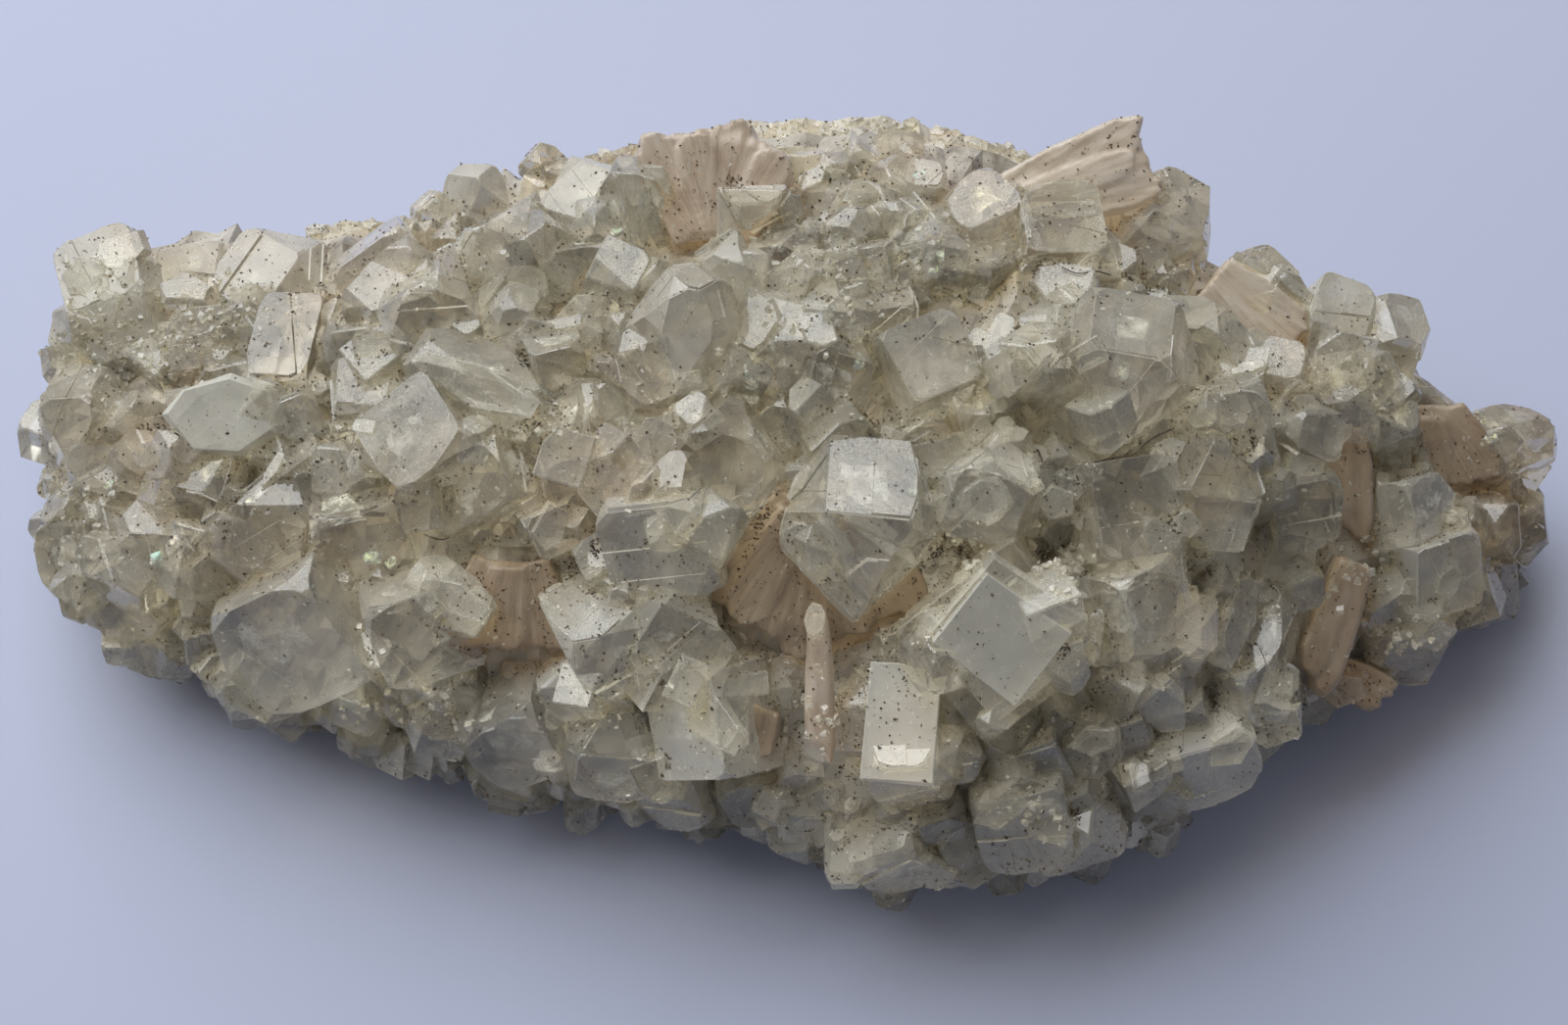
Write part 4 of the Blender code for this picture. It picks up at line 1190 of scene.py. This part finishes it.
def dust_and_shade_finish():
    """Brown dust, from nearly black to tan; where it is heaped in the hollows it is painted shade as well."""
    shades = ((0.38, (0.045, 0.03, 0.018)), (0.52, (0.11, 0.075, 0.045)), (0.68, (0.24, 0.18, 0.115)))
    return patchy_finish("brown_dust_and_shade", 0.95, shades, Scale=700, Detail=1)[0]


def dust_crumb():
    """One grain of dust of radius 1: a small uneven lump."""
    grain = bmesh.new()
    bmesh.ops.create_cone(grain, cap_ends=True, segments=4, radius1=1, radius2=0.5, depth=1.1)
    for vert in grain.verts:
        vert.co += jumbled(fall, 0.35)
    return grain


def add_grain(body, point, size):
    """A grain of dust at a point, turned any way."""
    turn = Matrix.Rotation(fall.uniform(0, math.tau), 4, leaning(fall, 1))
    long = Matrix.Diagonal((fall.uniform(0.8, 1.7), 1, fall.uniform(0.5, 1), 1))
    place = Matrix.Translation(point) @ turn @ Matrix.Scale(size, 4) @ long
    scatter(body, fall.choice(dust_crumbs), place)


def landing(skin, x, y):
    """Where something that falls at (x, y) lands."""
    return skin.ray_cast(Vector((x, y, ABOVE_ALL)), Vector((0, 0, -1)))[0]


def hollow_at(skin, point):
    """How far the surface around a point stands above it, in shares of a full hollow."""
    heights = []
    for turn in (0, 0.5 * math.pi, math.pi, 1.5 * math.pi):
        beside = HOLLOW_REACH * math.cos(turn), HOLLOW_REACH * math.sin(turn)
        around = landing(skin, point.x + beside[0], point.y + beside[1])
        if around:
            heights.append(around.z - point.z)
    return sum(heights) / len(heights) / HOLLOW_DEPTH if heights else 0


dust_crumbs = [as_mesh(dust_crumb()) for _ in range(GRAIN_SHAPES)]
skin = whole_skin()
low, high = cad_box
dust_and_shade = bmesh.new()
landed = 0
while landed < GRAINS:
    at = landing(skin, fall.uniform(low.x, high.x), fall.uniform(low.y, high.y))
    if at is None:
        continue
    # Painted shade as well as dust: grains are kept far more often in hollows.
    patch = DUST_EVEN + DUST_PATCHY * noise.noise(at / DUST_PATCH)
    if fall.random() > patch * (FACE_SHARE + max(0, min(1, hollow_at(skin, at)))):
        continue
    size = mostly_small(fall, GRAIN_SIZES, 2)
    add_grain(dust_and_shade, at + Vector((0, 0, 0.3 * size)), size)
    landed += 1
# Painted shade as well as dust: each nest heaps dark grains in a hollow.
for across, up, spread in DUST_AND_SHADE_NESTS_MM:
    for _ in range(int(NEST_GRAINS * spread)):
        at = across + fall.gauss(0, 0.6 * spread), up + fall.gauss(0, 0.6 * spread)
        point, _ = seen_at(skin, *at)
        if point is not None and hollow_at(skin, point) > NEST_HOLLOW:
            add_grain(dust_and_shade, point, fall.uniform(*NEST_SIZES_MM) * MM)
piece("dust_and_shade", dust_and_shade, dust_and_shade_finish(), "rock")

# Lint: a few fine dark hairs that have settled on the specimen. Each is a thin thread through bends that are
# given as they are seen, across and up, and it lies just clear of the surface.
HAIR_RADIUS = 0.06 * MM
HAIR_CLEAR = 0.25 * MM
HAIR_STEPS = 4
HAIR_EASING = 3
HAIRS_MM = (
    ((28.5, 4.6), (30, 5), (32.3, 5.3), (33.5, 6.8), (36.5, 8)),
    ((23.3, 5.8), (23.5, 5.2), (23.8, 4.5)),
    ((25.5, 22.5), (27, 21.8), (28.5, 22.3), (30.5, 21.6)),
    ((-33, -2), (-31.5, -2.6), (-30.5, -2.2)),
)


def hair_finish():
    """Dark brown lint."""
    shades = ((0.4, (0.03, 0.022, 0.016)), (0.65, (0.12, 0.09, 0.07)))
    return patchy_finish("dark_lint", 0.6, shades, Scale=400, Detail=2)[0]


threads = bpy.data.curves.new("threads", "CURVE")
threads.dimensions = "3D"
threads.bevel_depth = HAIR_RADIUS
threads.bevel_resolution = 1
threads.use_fill_caps = True
for bends in HAIRS_MM:
    bends = [Vector(bend) for bend in bends]
    path = []
    for one, two in zip(bends, bends[1:]):
        for step in range(HAIR_STEPS):
            point, _ = seen_at(skin, *one.lerp(two, step / HAIR_STEPS))
            if point is not None:
                path.append(point + TO_EYE * HAIR_CLEAR)
    for _ in range(HAIR_EASING):
        eased = [(a + 2 * b + c) / 4 for a, b, c in zip(path, path[1:], path[2:])]
        path = [path[0], *eased, path[-1]]
    thread = threads.splines.new("POLY")
    thread.points.add(len(path) - 1)
    for spot, at in zip(thread.points, path):
        spot.co = (*at, 1)
drawn = new_object("threads", threads)
graph = bpy.context.evaluated_depsgraph_get()
hairs = bmesh.new()
hairs.from_mesh(drawn.evaluated_get(graph).to_mesh())
bpy.data.objects.remove(drawn)
piece("lint", hairs, hair_finish(), "rock")

# The floor, the light and the room: a plain pale sheet, one broad window behind and to the left, and a dim,
# even room. They are only there to show the specimen.
FLOOR_REACH = 1.5
LOOKED_AT = Vector((0, 0, 20)) * MM


def floor_finish():
    """Plain pale sheet."""
    finish, _, shader = new_finish("pale_sheet")
    shader.inputs["Base Color"].default_value = (0.50, 0.53, 0.665, 1)
    shader.inputs["Roughness"].default_value = 0.9
    return finish


ground = bmesh.new()
bmesh.ops.create_grid(ground, x_segments=1, y_segments=1, size=FLOOR_REACH)
floor = new_object("floor", as_mesh(ground, "floor"))
floor.data.materials.append(floor_finish())

window = bpy.data.lights.new("window", "AREA")
window.shape = "RECTANGLE"
window.size = 0.9
window.size_y = 0.65
window.energy = 7.7
window.color = (0.93, 0.96, 1.0)
window_at = new_object("window", window)
window_at.location = (-0.29, 0.41, 0.52)
towards = LOOKED_AT - window_at.location
window_at.rotation_euler = towards.to_track_quat("-Z", "Y").to_euler()

room = bpy.data.worlds.new("room")
room.use_nodes = True
sky = room.node_tree.nodes["Background"]
sky.inputs["Color"].default_value = (0.90, 0.91, 1.0, 1)
sky.inputs["Strength"].default_value = 0.2
bpy.context.scene.world = room
bpy.context.scene.view_settings.view_transform = "Standard"
cycles = bpy.context.scene.cycles
cycles.transparent_max_bounces = 8
cycles.max_bounces = 6
cycles.diffuse_bounces = 2
cycles.adaptive_threshold = 0.13
